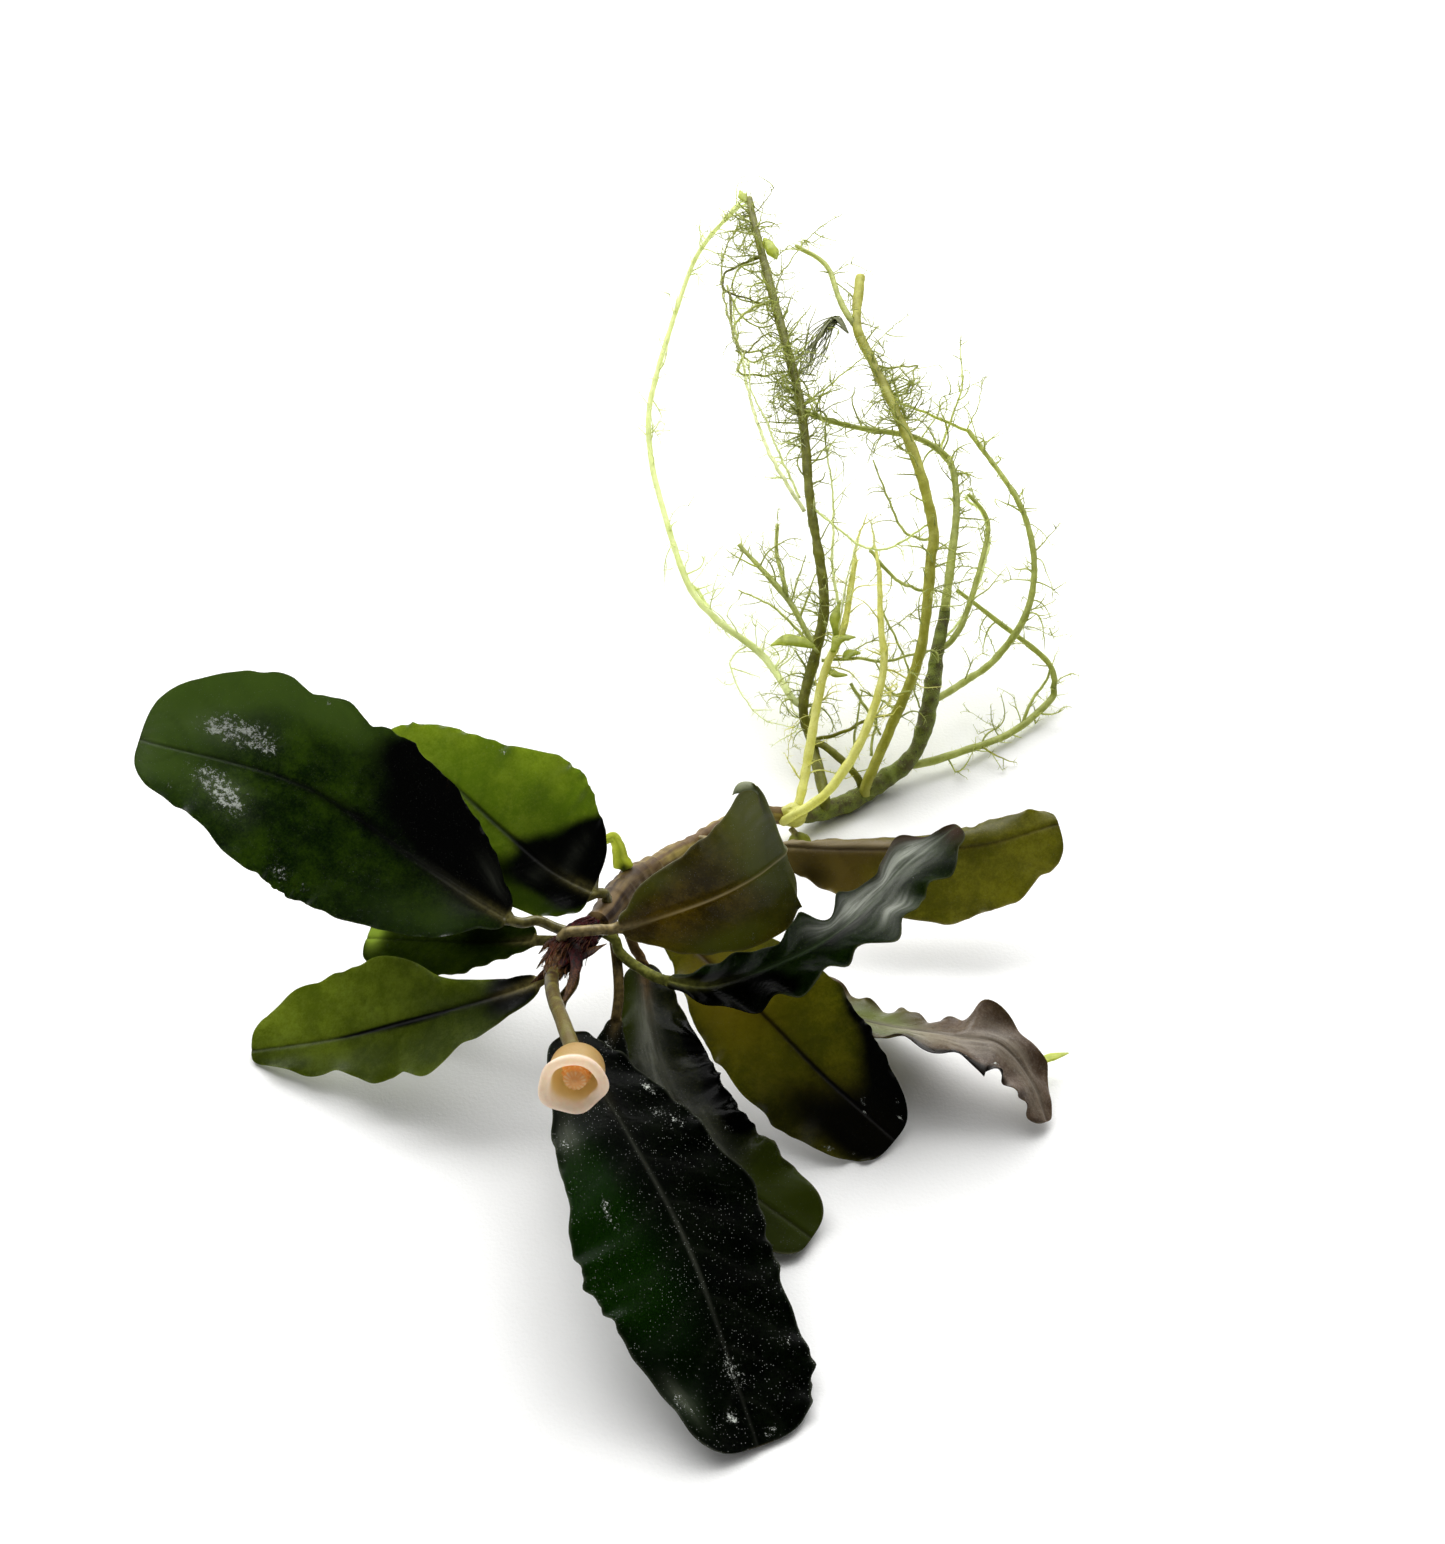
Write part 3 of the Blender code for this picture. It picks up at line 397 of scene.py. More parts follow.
        patches=((0.34, 0.2, 0.12, 1.0, 1.2), (0.24, 0, 0.1, 1.0, 0.8)),
        glints=((0.4, 0.7, 0.02, 0.1, 0.9), (0.62, 0.8, 0.02, 0.1, 0.8), (0.74, 0.7, 0.02, 0.1, 0.8))),
    "crown_leaflet": dict(
        stalk=[(-38.4, -29.7, 16.6)],
        midrib=[(-38.5, -29.5, 17.6), (-38.8, -29.2, 19.4), (-39.2, -28.5, 21.4), (-39.7, -27.9, 22.3),
            (-40.3, -28, 22.5), (-41.6, -28.6, 22)],
        stations=[(0.05, 1.1, 1.1, 45, 5, 5), (0.4, 0.9, 0.9, 45, 10, 10), (0.7, 0.7, 0.7),
            (0.95, 0.4, 0.4)],
        roll=45, cups=(20, 20), blunt=(0.25, 0.6), stalk_radius=0.35, ruffle=(3, 0.06), look="lime",
        rows=70, columns=14),
    "node_bract": dict(
        stalk=[(-13.2, -8.6, 4)],
        midrib=[(-12.6, -9.4, 3.6), (-11.8, -11, 2.6), (-11.4, -12.6, 1.2)],
        stations=[(0.1, 0.9, 0.9), (0.6, 1.7, 1.7), (0.9, 1, 1)],
        roll=0, cups=(10, 10), blunt=(0.8, 0.6), stalk_radius=0.5, ruffle=(3, 0.15), look="bract", rows=50,
        columns=14),
}

# How each kind of leaf looks. Face and under are the colours of its two sides, dark then light. Glow is
# the colour of light that comes through, and through is its share. Rib, vein, rim, stalk, patch and
# sheen are colours. Level is how much the surface mirrors, and speck is how many pale specks it has.
LOOKS = {
    "dark_green": dict(
        slot="leaf_dark_green", face=((8, 14, 6), (20, 30, 10)), under=((34, 38, 20), (60, 60, 34)),
        glow=((70, 96, 40), (134, 158, 66)), through=0.48, rib=(8, 12, 6), rim=(60, 66, 46), level=0.3,
        stalk=(112, 106, 60), patch=(48, 62, 36), patch_glow=(150, 170, 104), speck=0.5, rough=0.16),
    "bright_green": dict(
        slot="leaf_bright_green", face=((14, 24, 8), (26, 40, 12)), under=((62, 78, 30), (90, 104, 44)),
        glow=((160, 180, 84), (196, 210, 108)), through=0.62, rib=(26, 38, 10), rim=(66, 76, 40),
        level=0.3, stalk=(112, 106, 60), patch=(12, 18, 8), patch_glow=(90, 112, 44), speck=0.4,
        rough=0.16),
    "light_olive": dict(
        slot="leaf_light_olive", face=((31, 39, 15), (55, 65, 27)), under=((74, 78, 40), (96, 100, 56)),
        glow=((156, 168, 82), (194, 206, 112)), through=0.6, rib=(2, 3, 2), rim=(70, 78, 44), level=0.12,
        stalk=(116, 106, 60), patch=(30, 38, 18), patch_glow=(84, 96, 50), speck=0.25, rough=0.26),
    "shaded_green": dict(
        slot="leaf_dark_green", face=((10, 16, 6), (24, 32, 12)), under=((60, 66, 36), (80, 84, 50)),
        glow=((96, 112, 46), (122, 138, 60)), through=0.5, rib=(26, 32, 14), rim=(74, 80, 50), level=0.0,
        stalk=(112, 106, 64), patch=(130, 150, 60), patch_glow=(196, 214, 110), speck=0.25, rough=0.6),
    "underside_olive": dict(
        slot="leaf_underside_olive", face=((30, 40, 18), (46, 60, 26)), under=((42, 38, 10), (68, 64, 24)),
        glow=((112, 98, 30), (168, 150, 60)), through=0.42, rib=(236, 218, 172), vein=(70, 62, 30),
        rim=(150, 146, 116), level=0.18, stalk=(146, 130, 88), patch=(90, 96, 46),
        patch_glow=(142, 146, 66), speck=0.8, rough=0.26),
    "sheen_green": dict(
        slot="leaf_dark_green", face=((6, 13, 5), (18, 32, 9)), under=((60, 62, 32), (82, 82, 46)),
        glow=((82, 100, 44), (112, 126, 58)), through=0.42, rib=(60, 74, 48), rim=(84, 86, 60), level=0.02,
        sheen=(204, 208, 194), stalk=(110, 112, 52), patch=(60, 46, 36), patch_glow=(110, 92, 74),
        speck=0.25, rough=0.22),
    "brown_olive": dict(
        slot="leaf_light_olive", face=((84, 82, 36), (112, 108, 52)), under=((64, 62, 20), (96, 94, 34)),
        glow=((142, 142, 46), (182, 180, 68)), through=0.55, rib=(70, 52, 26), rim=(178, 160, 128),
        level=0.25, stalk=(120, 104, 58), patch=(112, 98, 54), patch_glow=(134, 118, 48), speck=0.4,
        rough=0.32),
    "olive": dict(
        slot="leaf_light_olive", face=((34, 36, 10), (58, 56, 18)), under=((66, 54, 32), (88, 72, 44)),
        glow=((142, 146, 60), (186, 184, 86)), through=0.6, rib=(50, 24, 14), rim=(84, 80, 52), level=0.25,
        stalk=(106, 94, 48), patch=(84, 76, 30), patch_glow=(182, 170, 76), speck=0.4, rough=0.2),
    "black_green": dict(
        slot="leaf_dark_green", face=((5, 8, 5), (17, 22, 13)), under=((30, 34, 18), (50, 54, 32)),
        glow=((32, 48, 20), (54, 72, 30)), through=0.34, rib=(44, 46, 40), rim=(84, 88, 74), level=0.03,
        stalk=(98, 84, 52), patch=(16, 34, 8), patch_glow=(106, 146, 60), speck=0.85, rough=0.2),
    "sheen_olive": dict(
        slot="leaf_dark_green", face=((16, 20, 12), (42, 44, 30)), under=((60, 62, 32), (84, 84, 46)),
        glow=((80, 86, 40), (108, 112, 54)), through=0.4, rib=(56, 56, 42), rim=(100, 98, 78), level=0.05,
        stalk=(104, 82, 52), patch=(50, 58, 20), patch_glow=(116, 126, 52), speck=0.3, rough=0.17,
        sheen=(166, 168, 152)),
    "purple": dict(
        slot="leaf_purple", face=((74, 58, 48), (120, 104, 90)), under=((66, 50, 42), (90, 74, 60)),
        glow=((128, 110, 70), (150, 136, 92)), through=0.35, rib=(58, 44, 36), rim=(96, 80, 62),
        level=0.22, stalk=(106, 82, 54), patch=(98, 106, 54), patch_glow=(136, 142, 70), speck=0.5,
        rough=0.28, sheen=(184, 174, 154)),
    "lime": dict(
        slot="leaflet_lime", face=((142, 152, 56), (178, 188, 76)), under=((148, 158, 60), (178, 188, 80)),
        glow=((212, 218, 118), (230, 236, 148)), through=0.6, rib=(160, 172, 76), rim=(180, 190, 96),
        stalk=(150, 170, 60), patch=(120, 150, 30), patch_glow=(180, 210, 60), speck=0.1, rough=0.4),
    "bract": dict(
        slot="leaflet_lime", face=((144, 150, 56), (172, 172, 80)), under=((140, 144, 54), (166, 166, 76)),
        glow=((200, 206, 90), (220, 224, 116)), through=0.5, rib=(110, 112, 40), rim=(170, 168, 96),
        stalk=(160, 150, 80), patch=(110, 104, 40), patch_glow=(180, 190, 60), speck=0.2, rough=0.4),
}

# Stems are points along the middle and radii spread evenly along it.
STEMS = {
    "old_rhizome": dict(
        line=[(-12, -4.8, 3.1), (-8.3, -2.9, 1.8), (-4.2, -0.8, 1.53), (-0.4, 2.1, 1.6), (3.3, 4.8, 2.4),
            (5.4, 5.8, 3.3)],
        radii=(1.3, 1.5, 1.5, 1.5, 1.4), look="moss"),
    "old_rhizome_branch": dict(
        line=[(5, 5.5, 3.1), (6.2, 6.6, 4), (8.3, 9.4, 6), (10, 14.7, 10), (11.4, 21.4, 15),
            (12.8, 27.6, 18.6)],
        radii=(1.3, 1.4, 1.2, 0.9), look="moss"),
    "young_rhizome": dict(
        line=[(-13.8, -5.8, 3.9), (-20.5, -8.6, 7), (-27.5, -16.2, 9.5), (-34.8, -26, 13.3),
            (-38, -32, 16.4), (-40.5, -38.9, 18.7), (-41.8, -42, 19.7)],
        radii=(1.5, 1.25, 1.3, 1.9, 2.3, 1.9), look="young_stem"),
    "flower_stalk": dict(
        line=[(-47, -53.3, 23.3), (-47, -57.7, 26), (-46, -65, 31.5), (-44, -73.5, 36.6),
            (-42.5, -78.9, 38.8), (-41.6, -81, 39.4)],
        radii=(0.95, 0.95, 1.0), look="flower_stalk"),
}

# Each kind of stem: its slot, how lumpy it is and the distance between its joints.
STEM_KINDS = {
    "moss": ("rhizome_green", 0.09, 2.6),
    "young_stem": ("rhizome_brown", 0.06, 3.4),
    "flower_stalk": ("flower_stalk", 0.02, None),
}
STEM_STEP = 0.18
STEM_SIDES = 36
JOINT_REACH = 0.45
JOINT_SWELL = 0.06

# Lumps of stems and roots: how close they come round the tube, and along it for the coarse and the fine
# ones. No skin goes lower than this.
LUMPS_ROUND = 1.6
LUMPS_ALONG = (0.8, 1.7)
LOWEST_SKIN = 0.02

# The sleeve of the sheath runs on past the CAD one. Its ridges have a strength, a number round it and a
# twist.
SHEATH_LINE = ((-42.3, -43.2, 20.1), (-44, -46, 21), (-45.7, -49.3, 22), (-46.9, -52.6, 22.9),
               (-47.2, -56, 24.6))
SHEATH_RADII = (1.7, 2.3, 2.2, 1.5, 1.0)
SHEATH_STEP = 0.15
SHEATH_SIDES = 48
SHEATH_LUMPS = 0.08
SHEATH_RIDGES = ((0.07, 13, 4), (0.05, 7, -3))

# Fibres that lie over the sleeve: how many, their points and sides, and how far from its middle they lie
# along it. Chance picks from the pairs: the part of the sleeve where they start and how much of it they
# cover, how far round it they wind, how high they lie, how far they lift at the end, and their radius.
FIBRE_COUNT = 110
FIBRE_POINTS = 16
FIBRE_SIDES = 5
FIBRE_REACH = (1.75, 2.35, 2.25, 1.55, 1.05)
FIBRE_STARTS = (-0.02, 0.45)
FIBRE_LENGTHS = (0.25, 0.6)
FIBRE_WINDS = (-0.9, 0.9)
FIBRE_HEIGHTS = (0.0, 0.12)
FIBRE_LIFTS = (0, 1.3)
FIBRE_RADII = (0.05, 0.14)

# Flat blades, such as scales and small leaves: which of a curve's points get a ring, the sides of a ring,
# and how high and how fast the waves of the margin are.
FLAT_EVERY = 4
FLAT_SIDES = 20
FLAT_WAVE = (0.12, 9)

# Torn scales of the sheath: their thickness as a share of their width, how light they are at most, and
# their points and half widths.
SCALE_THICKNESS = 0.25
SCALE_TONE = 0.3
BRACTS = (
    ([(-46.2, -51.4, 22.4), (-47.4, -52.7, 22.6), (-48.9, -53.8, 22.2), (-50.5, -54.2, 21)],
        (0.9, 0.8, 0.5, 0.05)),
    ([(-46, -48.4, 22.6), (-47, -50, 23.2), (-48.4, -51.9, 23.8), (-49.5, -54, 23.8)],
        (0.7, 0.6, 0.3, 0.05)),
    ([(-45.8, -46.2, 22), (-46.9, -47.3, 22.6), (-48.3, -48.7, 23), (-49.5, -50.7, 23)],
        (0.7, 0.5, 0.3, 0.05)),
    ([(-45, -47.6, 23), (-44.6, -49.8, 23.8), (-44, -53.3, 24), (-44.5, -57.7, 25), (-45.3, -61.6, 26)],
        (0.5, 0.9, 0.9, 0.6, 0.1)),
    ([(-45.2, -51, 22.4), (-44.1, -50.6, 22.2), (-42.3, -49.1, 22), (-40, -47.2, 21.4)],
        (0.9, 1.0, 0.8, 0.1)),
    ([(-45.2, -50.6, 23.2), (-45.5, -52.3, 23.9), (-46.7, -54.7, 24.6), (-47.6, -57.7, 25)],
        (0.8, 0.7, 0.4, 0.05)),
)

# Main roots are points along the middle and radii spread evenly along it. Side is how many side roots
# leave it.
ROOTS = {
    "root_yellow_left": dict(
        line=[(-12.6, -5.8, 3.8), (-11.9, -4.4, 5.5), (-10.8, 0.4, 7), (-8.5, 12.3, 12), (-6.9, 17.9, 15),
            (-4, 24.1, 18), (-1.9, 36, 22)],
        radii=(0.8, 0.7, 0.45), look="root_yellow", side=8),
    "root_yellow_right": dict(
        line=[(-14.4, -7.4, 4.4), (-13, -8, 6.2), (-7.4, -3.9, 7.5), (-1.8, 4.2, 11), (2, 14.7, 16),
            (1.9, 23, 19), (2, 33.2, 22)],
        radii=(0.8, 0.7, 0.4), look="root_yellow", side=8),
    "root_brown": dict(
        line=[(-1, 0.6, 2.2), (-0.6, 1.6, 4.3), (3.4, 8.8, 10), (8, 17.3, 18), (10, 29.9, 27),
            (10.5, 35.3, 30), (7.5, 47.9, 36), (1.5, 67.9, 40), (-0.7, 75.2, 42), (0.3, 87.6, 44)],
        radii=(0.85, 0.9, 0.9, 0.8, 0.9), look="root_brown", side=34),
    "root_brown_branch": dict(
        line=[(-0.8, 75, 41.9), (-2.3, 77.7, 42.7), (-3.6, 82.5, 43), (-5.6, 91.6, 44), (-10.8, 96.3, 45)],
        radii=(0.6, 0.5, 0.4), look="root_green", side=8),
    "root_dark": dict(
        line=[(-7.8, -2.8, 2.2), (-7.7, -1.5, 4.2), (-9.5, 9.4, 6), (-10.8, 13.7, 10), (-8.4, 22.1, 15),
            (-7.2, 29.4, 20), (-9.3, 44.2, 28), (-10.6, 61.2, 35), (-14.4, 81.2, 41), (-17.9, 101, 45),
            (-19.1, 110.8, 46)],
        radii=(0.9, 0.9, 0.8, 0.8, 0.6), look="root_dark", side=44),
    "root_pale": dict(
        line=[(-10.9, 13.4, 9.8), (-12.6, 15.2, 10), (-17.4, 25.7, 10), (-25.1, 32.6, 12),
            (-30.1, 40.2, 14), (-34.8, 57.1, 18), (-36.9, 68.2, 21), (-36.7, 79.6, 25), (-30.9, 102.9, 33),
            (-27.1, 109.2, 38), (-20.8, 112.2, 44)],
        radii=(0.6, 0.6, 0.5, 0.5, 0.4), look="root_pale", side=26),
    "root_right_loop": dict(
        line=[(6, 6.4, 3.4), (8.8, 7.4, 2.6), (14.6, 9.9, 2.5), (24.1, 15.7, 1.5), (31.2, 22.4, 2.6),
            (31.9, 24.2, 4.2)],
        radii=(0.7, 0.6, 0.55), look="root_green", side=8),
    "root_right_loop_end": dict(
        line=[(31.8, 23.9, 4), (32, 25.3, 5.2), (30.4, 28.3, 7), (23, 32.7, 11), (15.5, 35.4, 16)],
        radii=(0.5, 0.45, 0.35), look="root_green", side=8),
    "root_right": dict(
        line=[(10.2, 14.8, 9.8), (12.2, 16.8, 9), (17, 21.9, 8), (22.1, 26.7, 8.5), (27.2, 32.7, 13),
            (28.9, 40.9, 18), (26.6, 50.7, 23), (18.8, 64.2, 28)],
        radii=(0.6, 0.6, 0.5, 0.4), look="root_green", side=18),
    "root_top_right": dict(
        line=[(12.7, 26.8, 18.2), (13, 28.8, 20), (15.2, 43, 26), (15, 52, 29), (12.5, 54.7, 31),
            (7.8, 57, 32), (-1.7, 59, 32.5), (-8, 60.4, 33.6), (-10.6, 61.4, 34.8)],
        radii=(0.8, 0.6, 0.5, 0.4), look="root_green", side=26),
    "root_arc_right": dict(
        line=[(11.6, 21.3, 15), (13.8, 22.6, 16.3), (16.4, 27.5, 18), (20.4, 40.3, 23), (20.3, 44.3, 25),
            (17.6, 47.4, 27)],
        radii=(0.5, 0.45, 0.35), look="root_green", side=10),
    "root_fork": dict(
        line=[(-8.4, 22, 15), (-10, 24.2, 16), (-13.4, 31.2, 18), (-21.2, 42.5, 20)],
        radii=(0.5, 0.5, 0.35), look="root_green", side=10),
    "root_fork_tip": dict(
        line=[(-13.3, 31, 18), (-13.8, 33.6, 19.6), (-14.9, 39, 21), (-14.7, 45.4, 22)],
        radii=(0.4, 0.3), look="root_green", side=5),
    "root_cross": dict(
        line=[(-9.2, 8.2, 6), (-8, 7.4, 7), (-4.9, 5, 6), (-2.4, 3, 4.2), (-1.4, 2, 2.4)],
        radii=(0.6, 0.6), look="root_dark", side=4),
}

# Side roots that the photograph shows one by one: their look, their radii at the two ends, and points
# that were picked in it, at guessed heights.
SIDE_ROOTS = (
    ("root_pale", (0.38, 0.16), [(-10.3, 41.4, 28), (-13.6, 45.5, 31.4), (-16, 50.5, 32.9),
        (-18.5, 59.9, 34.3), (-19.8, 66.7, 35.7), (-20.6, 72.1, 37.1), (-21.8, 79.2, 38.6),
        (-22.1, 86.6, 40)]),
    ("root_pale", (0.25, 0.12), [(-11.1, 43.9, 29), (-14.7, 51.4, 33.2), (-16.6, 56.8, 35.5),
        (-19, 61.7, 37.8), (-19.6, 67.3, 40)]),
    ("root_dark", (0.25, 0.14), [(-17.2, 94.9, 43.5), (-20.9, 93.5, 42.8), (-23.7, 90.6, 42.6),
        (-23.4, 86, 42.4), (-20, 83.8, 42.2), (-14.8, 82, 41.2)]),
    ("root_dark", (0.24, 0.12), [(-22.7, 85, 42.4), (-22.3, 76.1, 40.7), (-21.3, 72, 40.3), (-20, 70, 40),
        (-18, 73.9, 39.7), (-15.7, 77.5, 39.3), (-14, 76.1, 39.4)]),
    ("root_fine", (0.26, 0.16), [(-14.7, 85, 41), (-19.2, 80.3, 42), (-22.2, 75.6, 41), (-20.1, 70.3, 40),
        (-14.9, 73.9, 39)]),
    ("root_fine", (0.2, 0.12), [(-22.2, 75.6, 41), (-23.7, 83.4, 42), (-24.1, 94.2, 43),
        (-21.7, 102.7, 44), (-17.7, 104.5, 45)]),
    ("root_fine", (0.24, 0.12), [(-20.1, 70.3, 40), (-21.3, 65.8, 39), (-17.6, 66.1, 38),
        (-12.3, 68.7, 37), (-8.1, 67.5, 37)]),
    ("root_fine", (0.2, 0.14), [(-17.8, 93.4, 43.5), (-21.2, 91.6, 43), (-22.1, 86, 42.4),
        (-19.5, 82.8, 42), (-15.3, 85.3, 41.6)]),
    ("root_fine", (0.2, 0.12), [(-23.2, 87.3, 42.4), (-20.9, 80.2, 41), (-17.4, 77.7, 40),
        (-14.3, 79.6, 40)]),
    ("root_fine", (0.18, 0.12), [(-21.7, 71.5, 39.6), (-18.9, 68.8, 39), (-15.4, 71.2, 38.6),
        (-12.3, 70.3, 38)]),
    ("root_green", (0.16, 0.05), [(-10.6, 61, 35), (-5.7, 63.4, 38), (-0.1, 68.5, 40), (4.9, 74, 42),
        (8, 75.6, 44)]),
    ("root_green", (0.16, 0.06), [(-17.2, 97, 44.2), (-14.3, 89.9, 43), (-10.1, 97.3, 44),
        (-6.3, 102.4, 45), (-2.3, 105.5, 46)]),
    ("root_dark", (0.12, 0.04), [(-18.4, 106, 45.6), (-16.6, 108.7, 46), (-14.3, 114.5, 46.6)]),
    ("root_green", (0.22, 0.1), [(2.4, 65, 39.4), (4.9, 68.4, 38), (9.7, 69, 38), (9, 68.4, 37.6),
        (8.7, 65.1, 37), (7.7, 61.9, 36)]),
    ("root_green", (0.28, 0.08), [(12.5, 54.7, 31), (13.7, 59.7, 28), (15.2, 64.8, 27.6),
        (16.7, 68.5, 29.2), (18.3, 73.8, 30.8), (18.4, 82.3, 32.4), (18.7, 84.6, 34)]),
    ("root_green", (0.2, 0.08), [(13.7, 59.7, 28), (10.7, 62.7, 27), (13.2, 67.1, 28.5),
        (14.7, 69.8, 30)]),
    ("root_green", (0.3, 0.16), [(18.8, 64, 28), (15.5, 63.7, 29.7), (11.1, 64.9, 31.3), (7.2, 64.9, 33),
        (3, 62.6, 39)]),
    ("root_green", (0.14, 0.05), [(18.6, 64.2, 28), (21.1, 69.7, 30.5), (21.5, 72.7, 33)]),
    ("root_green", (0.12, 0.04), [(15.2, 64.8, 27.6), (14.2, 70.4, 30), (18.5, 71.2, 31.5),
        (22.4, 73.3, 33)]),
    ("root_pale", (0.34, 0.2), [(-30.1, 40.2, 14), (-27.8, 38, 13), (-25.1, 32.8, 11.4), (-21.1, 29, 10.6),
        (-18, 26, 10)]),
    ("root_pale", (0.14, 0.07), [(-19, 29, 10), (-21.9, 26.8, 9.2), (-22.6, 24.2, 8.4), (-20.4, 17.7, 7.6),
        (-16.9, 13.1, 6.8), (-10.4, 10.4, 7.4)]),
    ("root_green", (0.3, 0.2), [(-7.8, 19.6, 14.4), (-1.5, 19.6, 14.6), (2.5, 19.2, 14.5),
        (8.4, 18.5, 17)]),
    ("root_dark", (0.34, 0.2), [(-9.3, 9.4, 6), (-7.2, 9.9, 6), (-4, 10.5, 7), (-0.5, 12, 8),
        (4.2, 10.5, 11)]),
    ("root_green", (0.3, 0.2), [(-3.1, 16.4, 12), (-0.6, 12.8, 10), (1.7, 8.5, 8)]),
    ("root_green", (0.28, 0.14), [(10.4, 36, 30), (10.1, 36.5, 26), (6.3, 39.8, 25.3), (3.7, 46, 27.7),
        (1.6, 52.9, 30)]),
    ("root_pale", (0.2, 0.18), [(-9.2, 43.2, 27.8), (-5.2, 37.9, 27.5), (-0.7, 33.3, 27),
        (3.9, 33.9, 26.5), (10.4, 36.2, 30)]),
    ("root_green", (0.32, 0.26), [(0.7, 38.7, 22), (3, 35.8, 20.7), (5.3, 33.8, 19.3), (9.6, 27.6, 22)]),
    ("root_green", (0.22, 0.16), [(2.1, 36.6, 20), (2.4, 29.7, 17.3), (5, 23.7, 14.7), (6.4, 21.7, 12),
        (8.4, 14, 9)]),
    ("root_green", (0.12, 0.06), [(-2.6, 21, 15), (4.1, 26.3, 15.5), (8.9, 30.1, 17), (11.8, 32.7, 18.5),
        (17.4, 33.5, 20)]),
    ("root_pale", (0.22, 0.2), [(17.6, 47.2, 27), (18.2, 51.8, 22.3), (20.6, 50.4, 20.7), (21.5, 44.8, 19),
        (19.2, 36.2, 17.3), (16.1, 28.9, 15.7), (12.8, 24, 15.6)]),
    ("root_green", (0.16, 0.05), [(28.9, 42, 18.6), (31.1, 45, 19), (34.1, 48.7, 20)]),
    ("root_green", (0.16, 0.05), [(27.4, 33.2, 13.2), (30.8, 35.4, 12.5), (32.5, 36.3, 13)]),
    ("root_green", (0.16, 0.05), [(31.8, 24.6, 4.6), (33.9, 26.3, 4.5), (35.4, 26.7, 5)]),
    ("root_green", (0.3, 0.2), [(26.4, 17.6, 1.8), (27.1, 19.7, 3), (28.3, 22.1, 3.5), (30.4, 25.1, 4),
        (31.6, 27.4, 6)]),
    ("root_brown", (0.2, 0.06), [(18, 12, 2.3), (21.8, 10.2, 1.3), (24.5, 9.5, 0.6)]),
    ("root_pale", (0.26, 0.12), [(-4.9, 27, 20), (-5.8, 35.1, 22.8), (-5.3, 43.3, 25.6),
        (-5.6, 49.5, 28.4), (-6.5, 57, 31.2), (-6.1, 61.2, 33)]),
    ("root_yellow", (0.34, 0.1), [(2, 33, 22), (1.6, 37, 23.4), (0.9, 42.5, 25)]),
    ("root_yellow", (0.3, 0.08), [(-2, 35.8, 22), (-1.2, 40.3, 23.6), (0.4, 44.5, 25)]),
    ("root_pale", (0.2, 0.08), [(-5.2, 21.6, 17), (-4.2, 28, 19.7), (-3, 33.5, 22.3), (-1.2, 38.3, 25)]),
    ("root_green", (0.3, 0.12), [(-8.3, 20.4, 15), (-13.7, 27, 17.2), (-17.7, 31.3, 17.3),
        (-21.4, 34.2, 17)]),
    ("root_green", (0.22, 0.08), [(-11.2, 26.8, 17), (-9.2, 31.4, 20.5), (-7.8, 34.7, 22)]),
    ("root_green", (0.2, 0.08), [(-12.8, 29.3, 17.6), (-11, 35.2, 20.5), (-10, 37.4, 22)]),
    ("root_green", (0.26, 0.12), [(5.6, 12.5, 13), (2.8, 13.3, 13.5), (1.1, 18.9, 15)]),
    ("root_green", (0.24, 0.12), [(4.4, 11, 11), (1.9, 15.2, 9.5), (-1.4, 17.1, 10)]),
    ("root_green", (0.26, 0.12), [(0, 6.2, 5.4), (1.2, 12.6, 7.5), (2.6, 15.7, 9)]),
    ("root_green", (0.26, 0.12), [(-3.1, 4.6, 4), (-1.7, 14.3, 7), (-0.9, 18.2, 9)]),
    ("root_green", (0.24, 0.1), [(9.6, 15, 10.6), (9.2, 17.3, 12), (11.7, 18.3, 12)]),
    ("root_green", (0.3, 0.14), [(-10.4, 14.9, 11), (-10.3, 19.2, 13), (-12, 22.5, 14)]),
)

